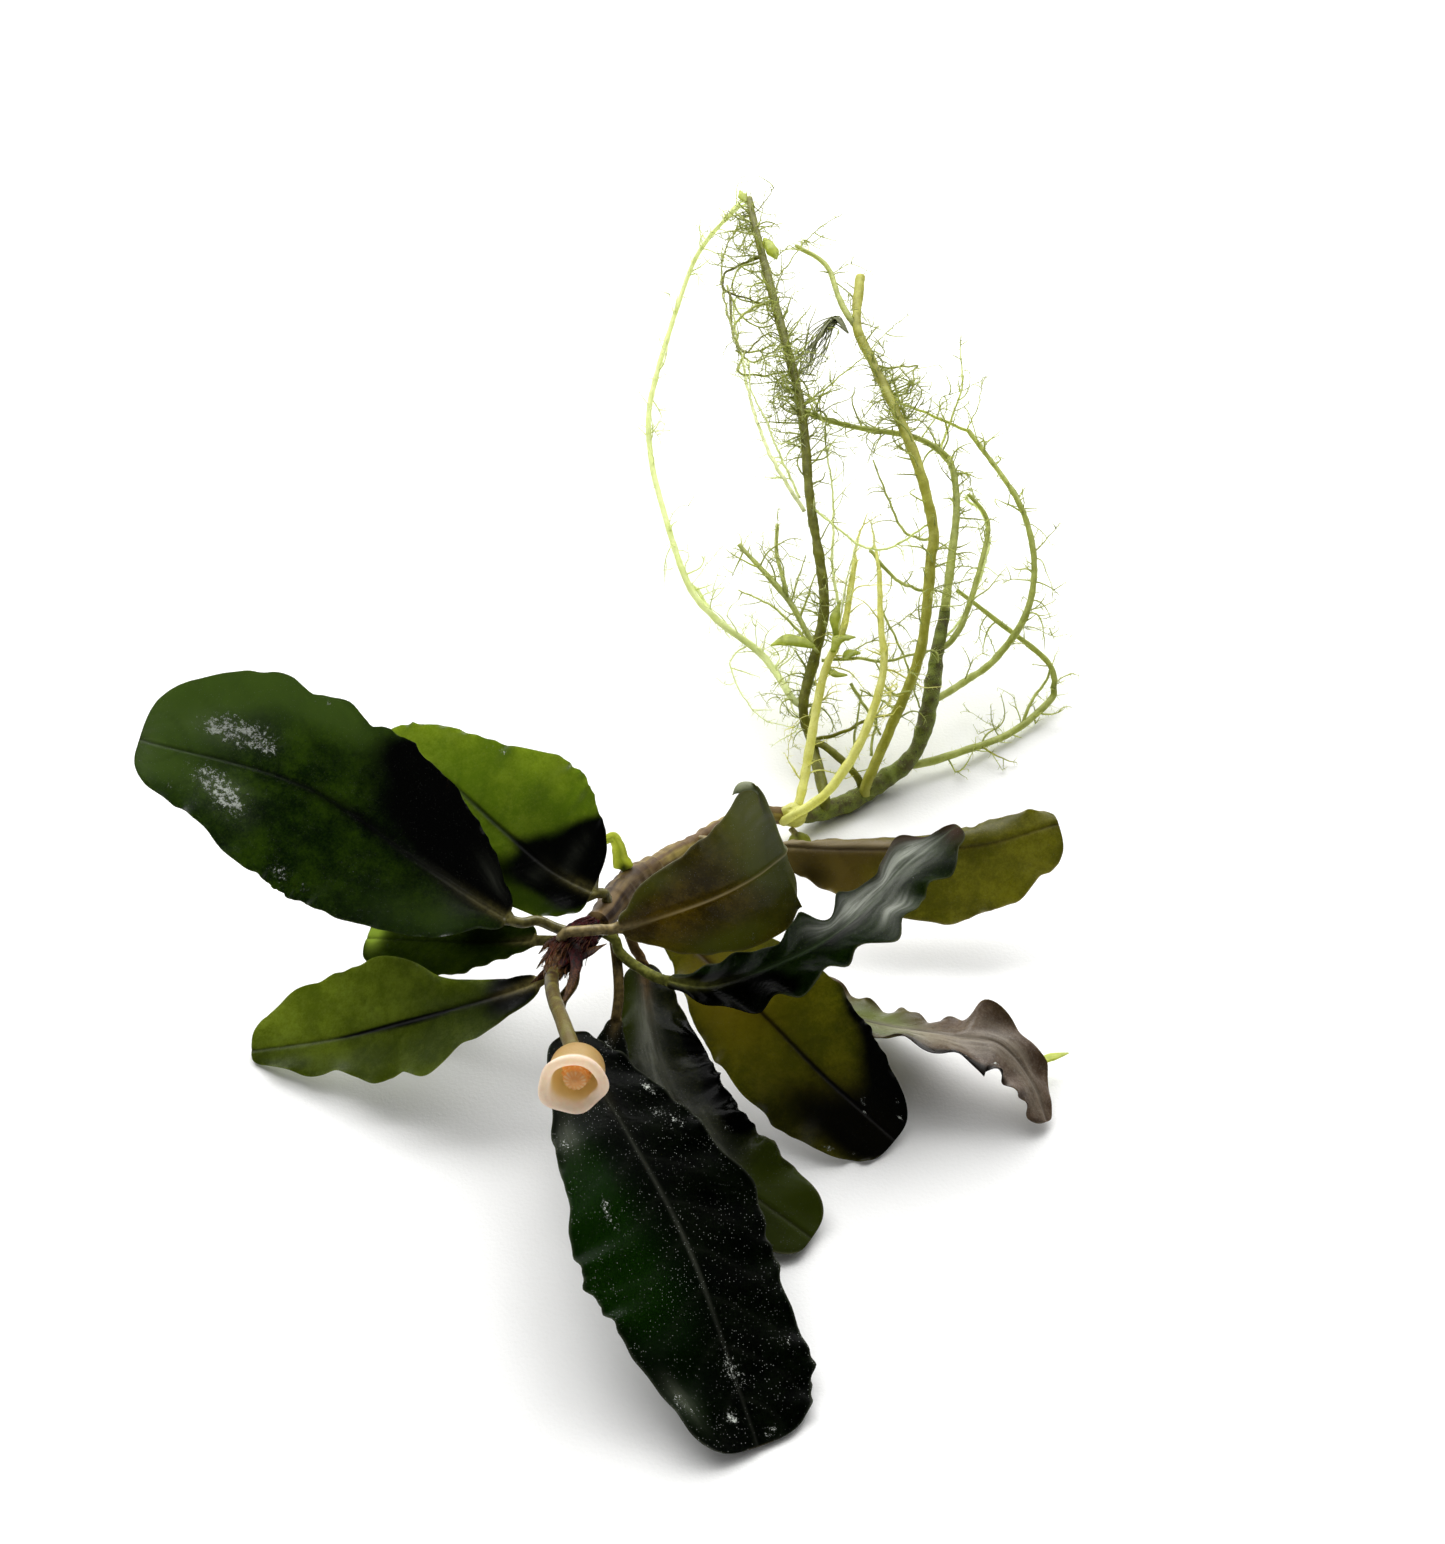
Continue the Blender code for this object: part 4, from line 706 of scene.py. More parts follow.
# Tangles of thin roots: the root that they leave, the part of its length, how many, how long, and their
# way.
TANGLES = (
    ("root_dark", (0.48, 0.72), 32, (7, 19), (1, 0.2, 0)),
    ("root_dark", (0.5, 0.97), 84, (6, 15), (-1, -0.2, 0)),
    ("root_dark", (0.58, 0.72), 34, (6, 14), (-1, -0.5, 0)),
    ("root_dark", (0.94, 1.0), 14, (2, 5), (-1, 0.3, 0)),
    ("root_dark", (0.6, 0.8), 20, (5, 12), (0.2, 0.4, 0)),
    ("root_brown", (0.62, 0.8), 26, (6, 16), (1, -0.3, 0)),
    ("root_brown", (0.66, 0.72), 16, (5, 9), (1, 0, -0.2)),
    ("root_brown", (0.6, 0.78), 22, (5, 14), (-1, -0.1, 0)),
    ("root_brown", (0.72, 1.0), 10, (3, 8), (0, 0.6, 0)),
    ("root_top_right", (0.3, 0.6), 16, (4, 12), (0.6, 1, 0)),
    ("root_top_right", (0.6, 1.0), 20, (3, 12), (0, 1, 0.1)),
    ("root_top_right", (0.5, 1.0), 12, (3, 10), (0, -1, 0)),
    ("root_pale", (0.0, 0.35), 26, (3, 12), (0.3, 0.6, 0.1)),
    ("root_pale", (0.85, 1.0), 16, (3, 8), (0, 0.3, 0)),
    ("root_fork", (0.1, 1.0), 14, (3, 11), (0, 1, 0.3)),
    ("root_dark", (0.1, 0.34), 22, (4, 13), (1, 0.3, 0)),
    ("root_dark", (0.1, 0.34), 16, (4, 13), (-1, 0.4, 0)),
    ("root_yellow_left", (0.4, 1.0), 12, (3, 9), (0.2, 1, 0.2)),
    ("root_yellow_right", (0.4, 1.0), 12, (3, 9), (0.3, 1, 0.2)),
    ("root_right", (0.3, 0.95), 18, (3, 9), (1, 0.2, 0)),
    ("root_right_loop", (0.3, 1.0), 10, (2, 7), (1, 0, 0)),
    ("root_brown", (0.12, 0.4), 20, (4, 13), (0.3, 0.4, 0)),
)

# Small leaves and buds among the roots and beside the purple leaf: their points, their widths, and their
# thickness as a share of those.
SPROUTS = (
    ([(-8.9, 20.3, 16.6), (-11.3, 21.2, 16.9), (-13.7, 22.1, 16.5), (-16.2, 21.5, 15.8)],
        (0.3, 1.2, 1.1, 0.2), 0.35),
    ([(-16.4, 99.4, 44.6), (-15.7, 97.6, 44.4), (-15, 95.6, 44.2), (-14.3, 93.4, 44)],
        (0.3, 1.1, 1.2, 0.2), 0.8),
    ([(-6, 19.1, 16.6), (-5, 21.4, 17.4), (-3.7, 22.7, 16.6), (-2, 23.4, 16)], (0.4, 1.3, 1.1, 0.2), 0.4),
    ([(-4.2, 18.2, 15.6), (-3, 20.2, 15.4), (-1.4, 20.6, 15)], (0.3, 1.2, 0.3), 0.4),
    ([(-5.4, 22, 17.6), (-5.6, 24.6, 19), (-4.6, 27.6, 20.4)], (0.4, 0.9, 0.2), 0.4),
    ([(-7.4, 18, 14.4), (-5.6, 16.6, 14), (-3.6, 16.8, 13.6)], (0.3, 1.0, 0.2), 0.4),
    ([(-19.6, 109.6, 46), (-20.4, 111.6, 46.2), (-20.8, 113.4, 46.2)], (0.4, 0.8, 0.2), 0.5),
    ([(18.6, -54.6, 3.6), (21.4, -53.8, 3.2), (23.4, -53, 3.1), (26, -52.4, 3.3)], (0.5, 0.8, 0.9, 0.1),
        0.3),
)

# The scrap's points, counted from the peak that it hangs from, its widths, and its thickness as a share
# of those.
SCRAP = ((0.3, 0.1, -1.4), (-0.2, -0.1, -0.5), (-1.3, -0.3, -0.2), (-2.4, -0.3, -0.9), (-2.9, -0.3, -1.9))
SCRAP_WIDTHS = (0.6, 0.8, 0.7, 0.1)
SCRAP_THICKNESS = 0.3

# A brush of thin roots that arches from the brown root down to the dark one: its start and top, the two
# ends of the row of its tips, how many roots, their radii, how far their middles are lifted, and how far
# chance moves their tops, middles and tips.
BRUSH_START = np.array((-2.2, 74.6, 41))
BRUSH_TOP = np.array((-4.2, 79.8, 40.4))
BRUSH_ENDS = np.array(((-10.9, 72.4, 39), (-9.7, 65.4, 37)))
BRUSH_COUNT = 34
BRUSH_RADII = (0.16, 0.1, 0.06)
BRUSH_LIFT = 0.6
BRUSH_SPREADS = (0.35, 0.9, 0.6)

# Each kind of root: its slot, and its dark colour, its light colour and that of its spots
ROOT_KINDS = {
    "root_yellow": ("root_yellow", (206, 204, 96), (238, 238, 154), (160, 152, 66)),
    "root_pale": ("root_yellow", (216, 228, 140), (244, 250, 196), (184, 198, 104)),
    "root_green": ("root_green", (152, 160, 74), (202, 208, 126), (104, 106, 44)),
    "root_brown": ("root_brown", (150, 148, 44), (196, 196, 88), (88, 76, 24)),
    "root_dark": ("root_brown", (96, 94, 20), (148, 150, 52), (58, 50, 12)),
    "root_fine": ("root_green", (152, 158, 76), (194, 200, 122), (110, 112, 50)),
    "root_brush": ("root_brown", (120, 124, 84), (160, 164, 120), (84, 84, 54)),
}
CLEAR_ROOTS = ("root_yellow", "root_pale")

# Thin roots and hairs of the dark roots look like these.
FINE_LOOK = {"root_dark": "root_fine", "root_brown": "root_fine"}

# Thin roots may reach this share of the CAD box's sides past it, and stay this high.
PAST_BOX = 0.025
LOWEST_ROOT = 0.15

# Main roots: the distance between their rings, the sides and lumps of those, their tone, how long side
# roots are, and how many hairs each ring has, with their length.
ROOT_STEP = 0.4
ROOT_SIDES = 16
ROOT_LUMPS = 0.07
ROOT_TONE = 0.3
SIDE_LENGTHS = (3, 13)
ROOT_HAIRS = (0.8, 1.5)

# Side roots that the photograph shows: the distance between their points, their sides, how far they
# waver, how many thinner roots and hairs they have in a millimetre, how long those are, and the thinner
# roots' radius.
SEEN_STEP = 0.5
SEEN_SIDES = 8
SEEN_WAVER = 0.12
SEEN_TWIGS = (1 / 3, (2, 8), 0.1)
SEEN_HAIRS = (2.5, 1.1)

# Random side roots: their radius, how it tapers, the distance between their points, their sides, and the
# length of their hairs. How sharply they bend and how many hairs they have in a millimetre differ between
# free ones and those of the tangles. Ones longer than the limit branch once more: how many, how long and
# how thick.
SIDE_RADIUS = 0.15
SIDE_TAPER = (1, 0.75, 0.3)
SIDE_STEP = 0.6
SIDE_SIDES = 5
SIDE_HAIR = 0.8
FREE_GROWTH = (0.3, 1.8)
TANGLE_GROWTH = (0.42, 1.3)
BRANCH_LIMIT = 5
BRANCHES = (2, (2, 6), 0.6)
HAIR_RADII = (0.045, 0.035, 0.015)
HAIR_SIDES = 3

# The swollen joint of the stems: its middle, its radius, how much wider it is along each axis, its mesh,
# and its coarse and fine lumps.
NODE_AT = np.array((-13.2, -6.2, 4.4))
NODE_RADIUS = 2.0
NODE_SHAPE = np.array((1.25, 1, 0.9))
NODE_ROWS = 40
NODE_SIDES = 48
NODE_LUMPS = (0.1, 0.05)

# Flower: a cup round a club. The rim has one pointed lip, low on the left as one looks into the cup. A
# profile has places from the base to the rim or tip, and radii there, which for the club are shares of
# its radius. Over the depth of its rim, the cup gets waves, each a height, a number round and a start,
# and a thicker wall, and its lip goes out and ahead by two shares of its length. At the rim the rings
# turn over to the inside: their places along the cup, and how far they are inside.
FLOWER_RIM = np.array((-41.8, -86.3, 41.3))
FLOWER_FACING = np.array((-0.05, -0.94, 0.34))
CUP_LENGTH = 6.4
CUP_FLOOR = 0.8
CUP_WALL = 0.5
CUP_LIP = 1.4
CUP_LIP_DEGREES = 205
CUP_PROFILE = ((0.0, 1.0), (0.12, 2.2), (0.35, 3.3), (0.65, 3.5), (0.85, 3.6), (1.0, 4.1))
CUP_SIDES = 72
CUP_ROWS = (30, 28)
CUP_BOTTOM = 0.16
RIM_FROM = 0.55
RIM_DEPTH = 0.45
RIM_WAVES = ((0.16, 3, 0.6), (0.1, 5, 2))
RIM_THICKER = 1.7
RIM_TURNS = ((1.04, 0.2), (1.06, 0.5), (1.04, 0.8))
LIP_SHARPNESS = 5
LIP_SHARES = (0.5, 0.4)
SPADIX_LENGTH = 4.8
SPADIX_RADIUS = 1.65
SPADIX_GAP = 0.5
SPADIX_PROFILE = ((0.0, 0.6), (0.2, 0.9), (0.55, 1.0), (0.88, 0.8), (1.0, 0.1))
SPADIX_SIDES = 56
SPADIX_ROWS = 52
PEBBLES_ALONG = 26
PEBBLES_ROUND = 7
PEBBLE_SIZE = 0.16


def place(points):
    """Points of the plan, in metres in the shared frame."""
    return (np.asarray(points, float) - MIDDLE) * MM


def paint(colour):
    """A screen colour as the shader wants it."""
    return tuple((c / 255) ** 2.2 for c in colour) + (1.0,)


# Curves


def smooth_curve(points):
    """Many points on a smooth curve that passes through the given ones."""
    p = np.array(points, float)
    p = np.vstack((2 * p[0] - p[1], p, 2 * p[-1] - p[-2]))
    t = np.linspace(0, 1, PER_SPAN, endpoint=False)[:, None]
    spans = []
    for a, b, c, d in zip(p[:-3], p[1:-2], p[2:-1], p[3:]):
        spans.append(b + 0.5 * t * (c - a + t * (2 * a - 5 * b + 4 * c - d + t * (3 * (b - c) + d - a))))
    return np.vstack((*spans, p[-2]))


def run_along(curve):
    """The length from the curve's start to each of its points."""
    steps = np.linalg.norm(np.diff(curve, axis=0), axis=1)
    return np.concatenate(((0.0,), np.cumsum(steps)))


def read_curve(curve, lengths):
    run = run_along(curve)
    return np.column_stack([np.interp(lengths, run, curve[:, axis]) for axis in range(3)])


def read_evenly(values, at):
    """Values that are spread evenly from 0 to 1, read at places between them."""
    return np.interp(at, np.linspace(0, 1, len(values)), values)


def eased(stations, at, column):
    """One column of the stations, read smoothly at places between them and held level beyond them."""
    places = np.array([station[0] for station in stations], float)
    values = np.array([station[column] for station in stations], float)
    slopes = np.gradient(values, places)
    at = np.clip(at, places[0], places[-1])
    i = np.clip(np.searchsorted(places, at, side="right") - 1, 0, len(places) - 2)
    span = places[i + 1] - places[i]
    t = (at - places[i]) / span
    rise = values[i + 1] - values[i]
    start, end = slopes[i] * span, slopes[i + 1] * span
    return values[i] + t * (start + t * (3 * rise - 2 * start - end + t * (start + end - 2 * rise)))


def opening(at, blunt):
    """How far a blade has opened at a place along it: 0 at both ends and 1 in the middle."""
    arch = 2 * np.sqrt(np.clip(at * (1 - at), 0, 0.25))
    return arch ** blunt[0] * (1 - at) + arch ** blunt[1] * at


def bell(distance, reach):
    """A soft hump: 1 at no distance, and near 0 past twice the reach."""
    return np.exp(-((distance / reach) ** 2))


def unit(vectors):
    return vectors / np.linalg.norm(vectors, axis=-1, keepdims=True)


def along_frames(points):
    """The ways ahead, aside and up along a path, turning as little as they can."""
    ahead = unit(np.gradient(points, axis=0))
    first = UP if abs(ahead[0][2]) < 0.9 else np.array((1.0, 0.0, 0.0))
    aside = [unit(np.cross(ahead[0], first))]
    for way in ahead[1:]:
        turned = aside[-1] - way * np.dot(aside[-1], way)
        aside.append(unit(turned))
    aside = np.array(aside)
    return ahead, aside, np.cross(aside, ahead)


def round_angles(sides):
    return np.linspace(0, FULL_TURN, sides, endpoint=False)


def outward(aside, above, angles):
    """The ways out at angles that turn from aside to above, for each point that those two are given for."""
    return aside[..., None, :] * np.cos(angles)[:, None] + above[..., None, :] * np.sin(angles)[:, None]


def ripple(rng, waves, first, second):
    """A smooth random field of two coordinates, from about -1 to 1."""
    total = np.zeros(np.broadcast(first, second).shape)
    for _ in range(6):
        a, b = rng.normal(0, waves, 2)
        total += np.sin(a * first + b * second + rng.uniform(0, FULL_TURN))
    return total / 3


# Meshes


def mesh_piece(name, points, faces, material, values, slot, replaced=None, uv=None):
    """A piece with smooth faces. Values are numbers for its material, one for each point."""
    mesh = bpy.data.meshes.new(name)
    mesh.from_pydata(place(points).tolist(), [], faces)
    mesh.validate()
    mesh.update()
    for key, numbers in values.items():
        made = mesh.attributes.new(key, "FLOAT", "POINT")
        made.data.foreach_set("value", np.asarray(numbers, np.float32).ravel())
    if uv is not None:
        layer = mesh.uv_layers.new(name="across_and_along")
        corners = np.zeros(len(mesh.loops), np.int32)
        mesh.loops.foreach_get("vertex_index", corners)
        layer.data.foreach_set("uv", np.asarray(uv, np.float32)[corners].ravel())
    mesh.shade_smooth()
    mesh.materials.append(material)
    piece = bpy.data.objects.new(name, mesh)
    bpy.context.scene.collection.objects.link(piece)
    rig.ride(piece, "root")
    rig.slot(piece, slot)
    if replaced:
        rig.replaces(piece, replaced)


def ring_piece(name, rings, material, values, slot, replaced=None):
    """A closed tube of rings that is one piece."""
    mesh_piece(name, rings.reshape(-1, 3), ring_faces(*rings.shape[:2]), material, values, slot, replaced)


def ring_faces(rows, sides, start=0):
    """Faces of a closed tube of rings, with a cap at each end, that look outwards."""
    k = np.arange(sides)
    after = (k + 1) % sides
    faces = []
    for row in range(rows - 1):
        near, far = start + row * sides, start + (row + 1) * sides
        corners = (near + k, near + after, far + after, far + k)
        faces.extend(zip(*(corner.tolist() for corner in corners)))
    faces.append(tuple((start + k[::-1]).tolist()))
    faces.append(tuple((start + (rows - 1) * sides + k).tolist()))
    return faces


class Bundle:
    """Tubes gathered into one mesh. Each point keeps its place along its tube and its tube's own tone."""

    def __init__(self):
        self.points = []
        self.faces = []
        self.along = []
        self.tone = []
        self.count = 0

    def add(self, rings, along, tone):
        rows, sides = rings.shape[:2]
        self.faces.extend(ring_faces(rows, sides, self.count))
        self.points.append(rings.reshape(-1, 3))
        self.along.append(np.repeat(along, sides))
        self.tone.append(np.full(rows * sides, tone))
        self.count += rows * sides

    def tube(self, path, radii, sides, tone):
        at = np.linspace(0, 1, len(path))
        radius = read_evenly(radii, at)
        _, aside, above = along_frames(path)
        out = outward(aside, above, round_angles(sides))
        self.add(path[:, None] + out * radius[:, None, None], at, tone)

    def piece(self, name, material, slot, replaced=None):
        values = {"along": np.concatenate(self.along), "tone": np.concatenate(self.tone)}
        mesh_piece(name, np.concatenate(self.points), self.faces, material, values, slot, replaced)


# Materials


class Finish:
    """A procedural material, built from short calls. Its textures are measured in millimetres."""

    def __init__(self, name):
        self.material = bpy.data.materials.new(name)
        self.material.use_nodes = True
        self.tree = self.material.node_tree
        self.tree.nodes.clear()
        metres = self.node("TexCoord").outputs["Object"]
        scaled = self.node("VectorMath", operation="SCALE")
        self.tree.links.new(metres, scaled.inputs[0])
        scaled.inputs["Scale"].default_value = 1 / MM
        self.here = scaled.outputs[0]

    def node(self, kind, **settings):
        made = self.tree.nodes.new("ShaderNode" + kind)
        for key, value in settings.items():
            setattr(made, key, value)
        return made

    def feed(self, socket, value):
        if isinstance(value, bpy.types.NodeSocket):
            self.tree.links.new(value, socket)
        else:
            socket.default_value = value

    def fed(self, made, values):
        """A node's first output, once its inputs have values: by name or number, or in order."""
        keys = values.keys() if isinstance(values, dict) else range(len(values))
        for key in keys:
            self.feed(made.inputs[key], values[key])
        return made.outputs[0]

    def value(self, name):
        """A number that the mesh keeps for each of its points."""
        return self.node("Attribute", attribute_name=name).outputs["Fac"]

    def noise(self, scale, detail=3.0, rough=0.55, where=None):
        made = self.node("TexNoise")
        values = {"Vector": where or self.here, "Scale": scale, "Detail": detail, "Roughness": rough}
        return self.fed(made, values)

    def clouds(self, scale, detail, rough, low, high, *heights):
        """Noise, eased from low to high."""
        return self.span(self.noise(scale, detail, rough), low, high, *heights)

    def stretched(self, x, y, z):
        """Coordinates in millimetres, each axis times its own number."""
        return self.fed(self.node("Mapping"), {"Vector": self.here, "Scale": (x, y, z)})

    def leaf_place(self, along, across):
        """Coordinates on a blade, times the two numbers."""
        flat = self.node("UVMap", uv_map="across_and_along").outputs[0]
        return self.fed(self.node("Mapping"), {"Vector": flat, "Scale": (across, along, 1)})

    def round_stem(self, along, around):
        """Coordinates on a stem, in centimetres along it and as a place round it, times the numbers."""
        sizes = {"length": 0.1 * along, "turned": around, "lifted": around}
        return self.fed(self.node("CombineXYZ"), [self.times(self.value(key), sizes[key]) for key in sizes])

    def span(self, value, low, high, to_low=0.0, to_high=1.0):
        """The value's place between low and high, eased and held beyond them."""
        made = self.node("MapRange", interpolation_type="SMOOTHSTEP")
        return self.fed(made, (value, low, high, to_low, to_high))

    def math(self, operation, first, second=0.5):
        return self.fed(self.node("Math", operation=operation), (first, second))

    def times(self, first, second):
        return self.math("MULTIPLY", first, second)

    def plus(self, first, second):
        return self.math("ADD", first, second)

    def less(self, value, share=1.0):
        """One minus a share of the value."""
        return self.math("SUBTRACT", 1.0, value if share == 1.0 else self.times(value, share))

    def mix(self, share, first, second):
        """A colour between two, each a screen colour or a socket."""
        made = self.node("Mix", data_type="RGBA")
        colours = [c if isinstance(c, bpy.types.NodeSocket) else paint(c) for c in (first, second)]
        self.fed(made, {0: share, 6: colours[0], 7: colours[1]})
        return made.outputs[2]

    def dots(self, scale, size, share):
        """Round dots in a share of the cells of a grid that is this many cells to a millimetre."""
        cells = self.node("TexVoronoi")
        self.fed(cells, {"Vector": self.here, "Scale": scale})
        chosen = self.fed(self.node("SeparateColor"), (cells.outputs["Color"],))
        picked = self.math("LESS_THAN", chosen, share)
        return self.times(picked, self.span(cells.outputs["Distance"], size * 0.5, size, 1.0, 0.0))

    def bump(self, height, depth, below=None):
        """Relief of the given depth in millimetres."""
        values = {"Strength": 1.0, "Distance": depth * MM, "Height": height}
        if below is not None:
            values["Normal"] = below
        return self.fed(self.node("Bump"), values)

    def surface(self, colour, rough, relief, soft=0.0, soft_reach=1.0, level=0.5):
        values = {
            "Base Color": colour,
            "Roughness": rough,
            "Specular IOR Level": level,
            "Subsurface Weight": soft,
            "Subsurface Radius": (soft_reach * MM, soft_reach * MM, 0.5 * soft_reach * MM),
            "Subsurface Scale": 1.0,
            "Normal": relief,
        }
        return self.fed(self.node("BsdfPrincipled"), values)

    def glow(self, colour):
        return self.fed(self.node("BsdfTranslucent"), {"Color": colour})

    def blend(self, share, first, second):
        return self.fed(self.node("MixShader"), (share, first, second))

    def done(self, shader):
        self.tree.links.new(shader, self.node("OutputMaterial").inputs["Surface"])
        return self.material


def leaf_colours(f, look, shade):
    """A blade's colour and that of the light through it, from noise and spots, some of painted shade and light."""
    cloudy = f.clouds(0.16, 4.0, 0.6, 0.35, 0.68)
    mottled = f.clouds(0.9, 5.0, 0.65, 0.3, 0.75)
    grain = f.clouds(3.2, 3.0, 0.7, 0.35, 0.7)
    tone = f.plus(f.times(cloudy, 0.4), f.plus(f.times(mottled, 0.3), f.times(grain, 0.3)))
    tone = f.span(tone, 0.12, 0.88)
    vein, rib, patch = f.value("vein"), f.value("rib"), f.value("patch")
    vein_colour = look.get("vein", look["rib"])
    colour = f.mix(f.value("under"), f.mix(tone, *look["face"]), f.mix(tone, *look["under"]))
    # Patches: partly the blade's own tint, partly painted light and shade where more and less light comes through.
    colour = f.mix(patch, colour, look["patch"])
    colour = f.mix(f.times(vein, 0.22), colour, vein_colour)
    colour = f.mix(f.times(rib, 0.8), colour, look["rib"])
    # Rim: partly a paler margin, partly a painted highlight where the curled margin catches the light.
    colour = f.mix(f.times(f.value("rim"), 0.6), colour, look["rim"])
    colour = f.mix(f.times(shade, 0.93), colour, (2, 3, 2))
    colour = f.mix(f.times(f.value("brown"), 0.7), colour, (52, 34, 10))
    glow = f.mix(tone, *look["glow"])
    glow = f.mix(f.times(patch, 0.85), glow, look["patch_glow"])
    glow = f.mix(f.times(vein, 0.14), glow, vein_colour)
    glow = f.mix(f.times(rib, 0.85), glow, look["rib"])
    return colour, f.mix(f.times(shade, 0.97), glow, (1, 2, 1))


def leaf_sparkle(f, look, shade, stalk):
    """Pale specks, painted glints of tiny drops, and ragged flakes of painted highlight where its glints are."""
    drop_glint_spread = f.clouds(0.22, 2.0, 0.55, 0.35, 0.6, 0.25, 1.0)
    drop_glints = f.plus(f.times(f.dots(2.6, 0.18, 0.16), 0.65), f.times(f.dots(3.6, 0.28, 0.3), 0.45))
    drop_glints = f.times(f.times(drop_glints, look["speck"]), f.times(drop_glint_spread, f.less(shade, 0.8)))
    glint = f.value("glint")
    ragged = f.plus(f.times(f.noise(1.3, 6.0, 0.82), 0.7), f.times(f.noise(4.0, 3.0, 0.7), 0.3))
    flakes = f.span(f.plus(ragged, f.times(glint, 0.15)), 0.63, 0.7)
    flakes = f.times(flakes, f.span(glint, 0.08, 0.5))
    return f.times(f.math("MINIMUM", f.plus(drop_glints, flakes), 1.0), f.less(stalk))


def leaf_relief(f, sparkle):
    pores = f.bump(f.noise(6.0, 2.0, 0.6), 0.006)
    waves = f.bump(f.noise(0.8, 3.0, 0.6), 0.045, pores)
    veins = f.bump(f.less(f.value("vein")), 0.03, waves)
    return f.bump(sparkle, 0.04, veins)


def leaf_finish(name, look):
    f = Finish(name)
    shade, stalk = f.value("shade"), f.value("stalk")
    colour, glow = leaf_colours(f, look, shade)
    lines = f.span(f.noise(1.0, 4.0, 0.6, f.leaf_place(7, 15)), 0.36, 0.64, 0.4, 1.0)
    sheen = f.times(f.times(f.value("sheen"), lines), 0.7)
    colour = f.mix(sheen, colour, look.get("sheen", (128, 132, 116)))
    stalk_tone = f.mix(f.clouds(1.2, 4.0, 0.55, 0.3, 0.7), [c * 0.68 for c in look["stalk"]], look["stalk"])
    colour = f.mix(stalk, colour, stalk_tone)
    sparkle = leaf_sparkle(f, look, shade, stalk)
    # Painted highlights: the pale glint specks and the flakes.
    colour = f.mix(f.times(sparkle, 0.85), colour, (232, 238, 226))
    film = f.times(f.clouds(0.3, 3.0, 0.55, 0.35, 0.65), 0.12)
    rough = f.plus(f.math("SUBTRACT", look["rough"] + 0.06, film), f.times(f.value("rib"), 0.25))
    solid = f.surface(colour, rough, leaf_relief(f, sparkle), level=look.get("level", 0.5))
    share = f.times(f.times(f.less(stalk, 0.9), look["through"]), f.less(sparkle, 0.7))
    return f.done(f.blend(share, solid, f.glow(glow)))


# Leaves


def spots(where, at, u):
    """Soft spots on a blade, added up."""
    total = np.zeros(np.broadcast(at, u).shape)
    for place_along, place_across, reach_along, reach_across, strength in where:
        apart = ((at - place_along) / reach_along) ** 2 + ((u - place_across) / reach_across) ** 2
        total += strength * np.exp(-apart)
    return total


def sharpened(values):
    """Spots with a softly cut edge."""
    t = np.clip((values - 0.25) / 0.5, 0, 1)
    return t * t * (3 - 2 * t)


def crests(turns):
    """A wave with narrow crests and round hollows."""
    return 1 - 2 * np.sqrt(0.015 + np.sin(turns / 2) ** 2)


def margin_waves(leaf, at, side, rng):
    """How far the margin on one side goes out and up along the blade, and how far its very edge curls."""
    waves, height = leaf["ruffle"]
    phases = rng.uniform(0, FULL_TURN, 8)
    uneven = at
    for (pace, share), phase in zip(UNEVEN_WAVES, phases[5:7]):
        uneven = uneven + share * np.sin(FULL_TURN * at * pace + phase)
    turns = FULL_TURN * uneven
    up, out = 0, 0
    for (pace, share), phase in zip(UP_WAVES, phases):
        up = up + share * np.sin(turns * waves * pace + phase)
    for (pace, share), phase in zip(OUT_WAVES, phases[3:]):
        out = out + share * crests(turns * waves * pace + phase)
    swell = 1 + SWELL_WAVE[1] * np.sin(turns * SWELL_WAVE[0] + phases[7])
    curl = CURL_SHARE * height * np.sin(turns * waves * CURL_PACE + phases[4]) * swell
    out = OUT_SHARE * height * (swell * out)
    up = UP_SHARE * height * up
    for which, middle, reach, spread in leaf.get("lobes", ()):
        if which == side:
            lobe = bell(at - middle, spread)
            out = out + reach * lobe
            up = up + 0.5 * abs(reach) * lobe
    return out, up, curl


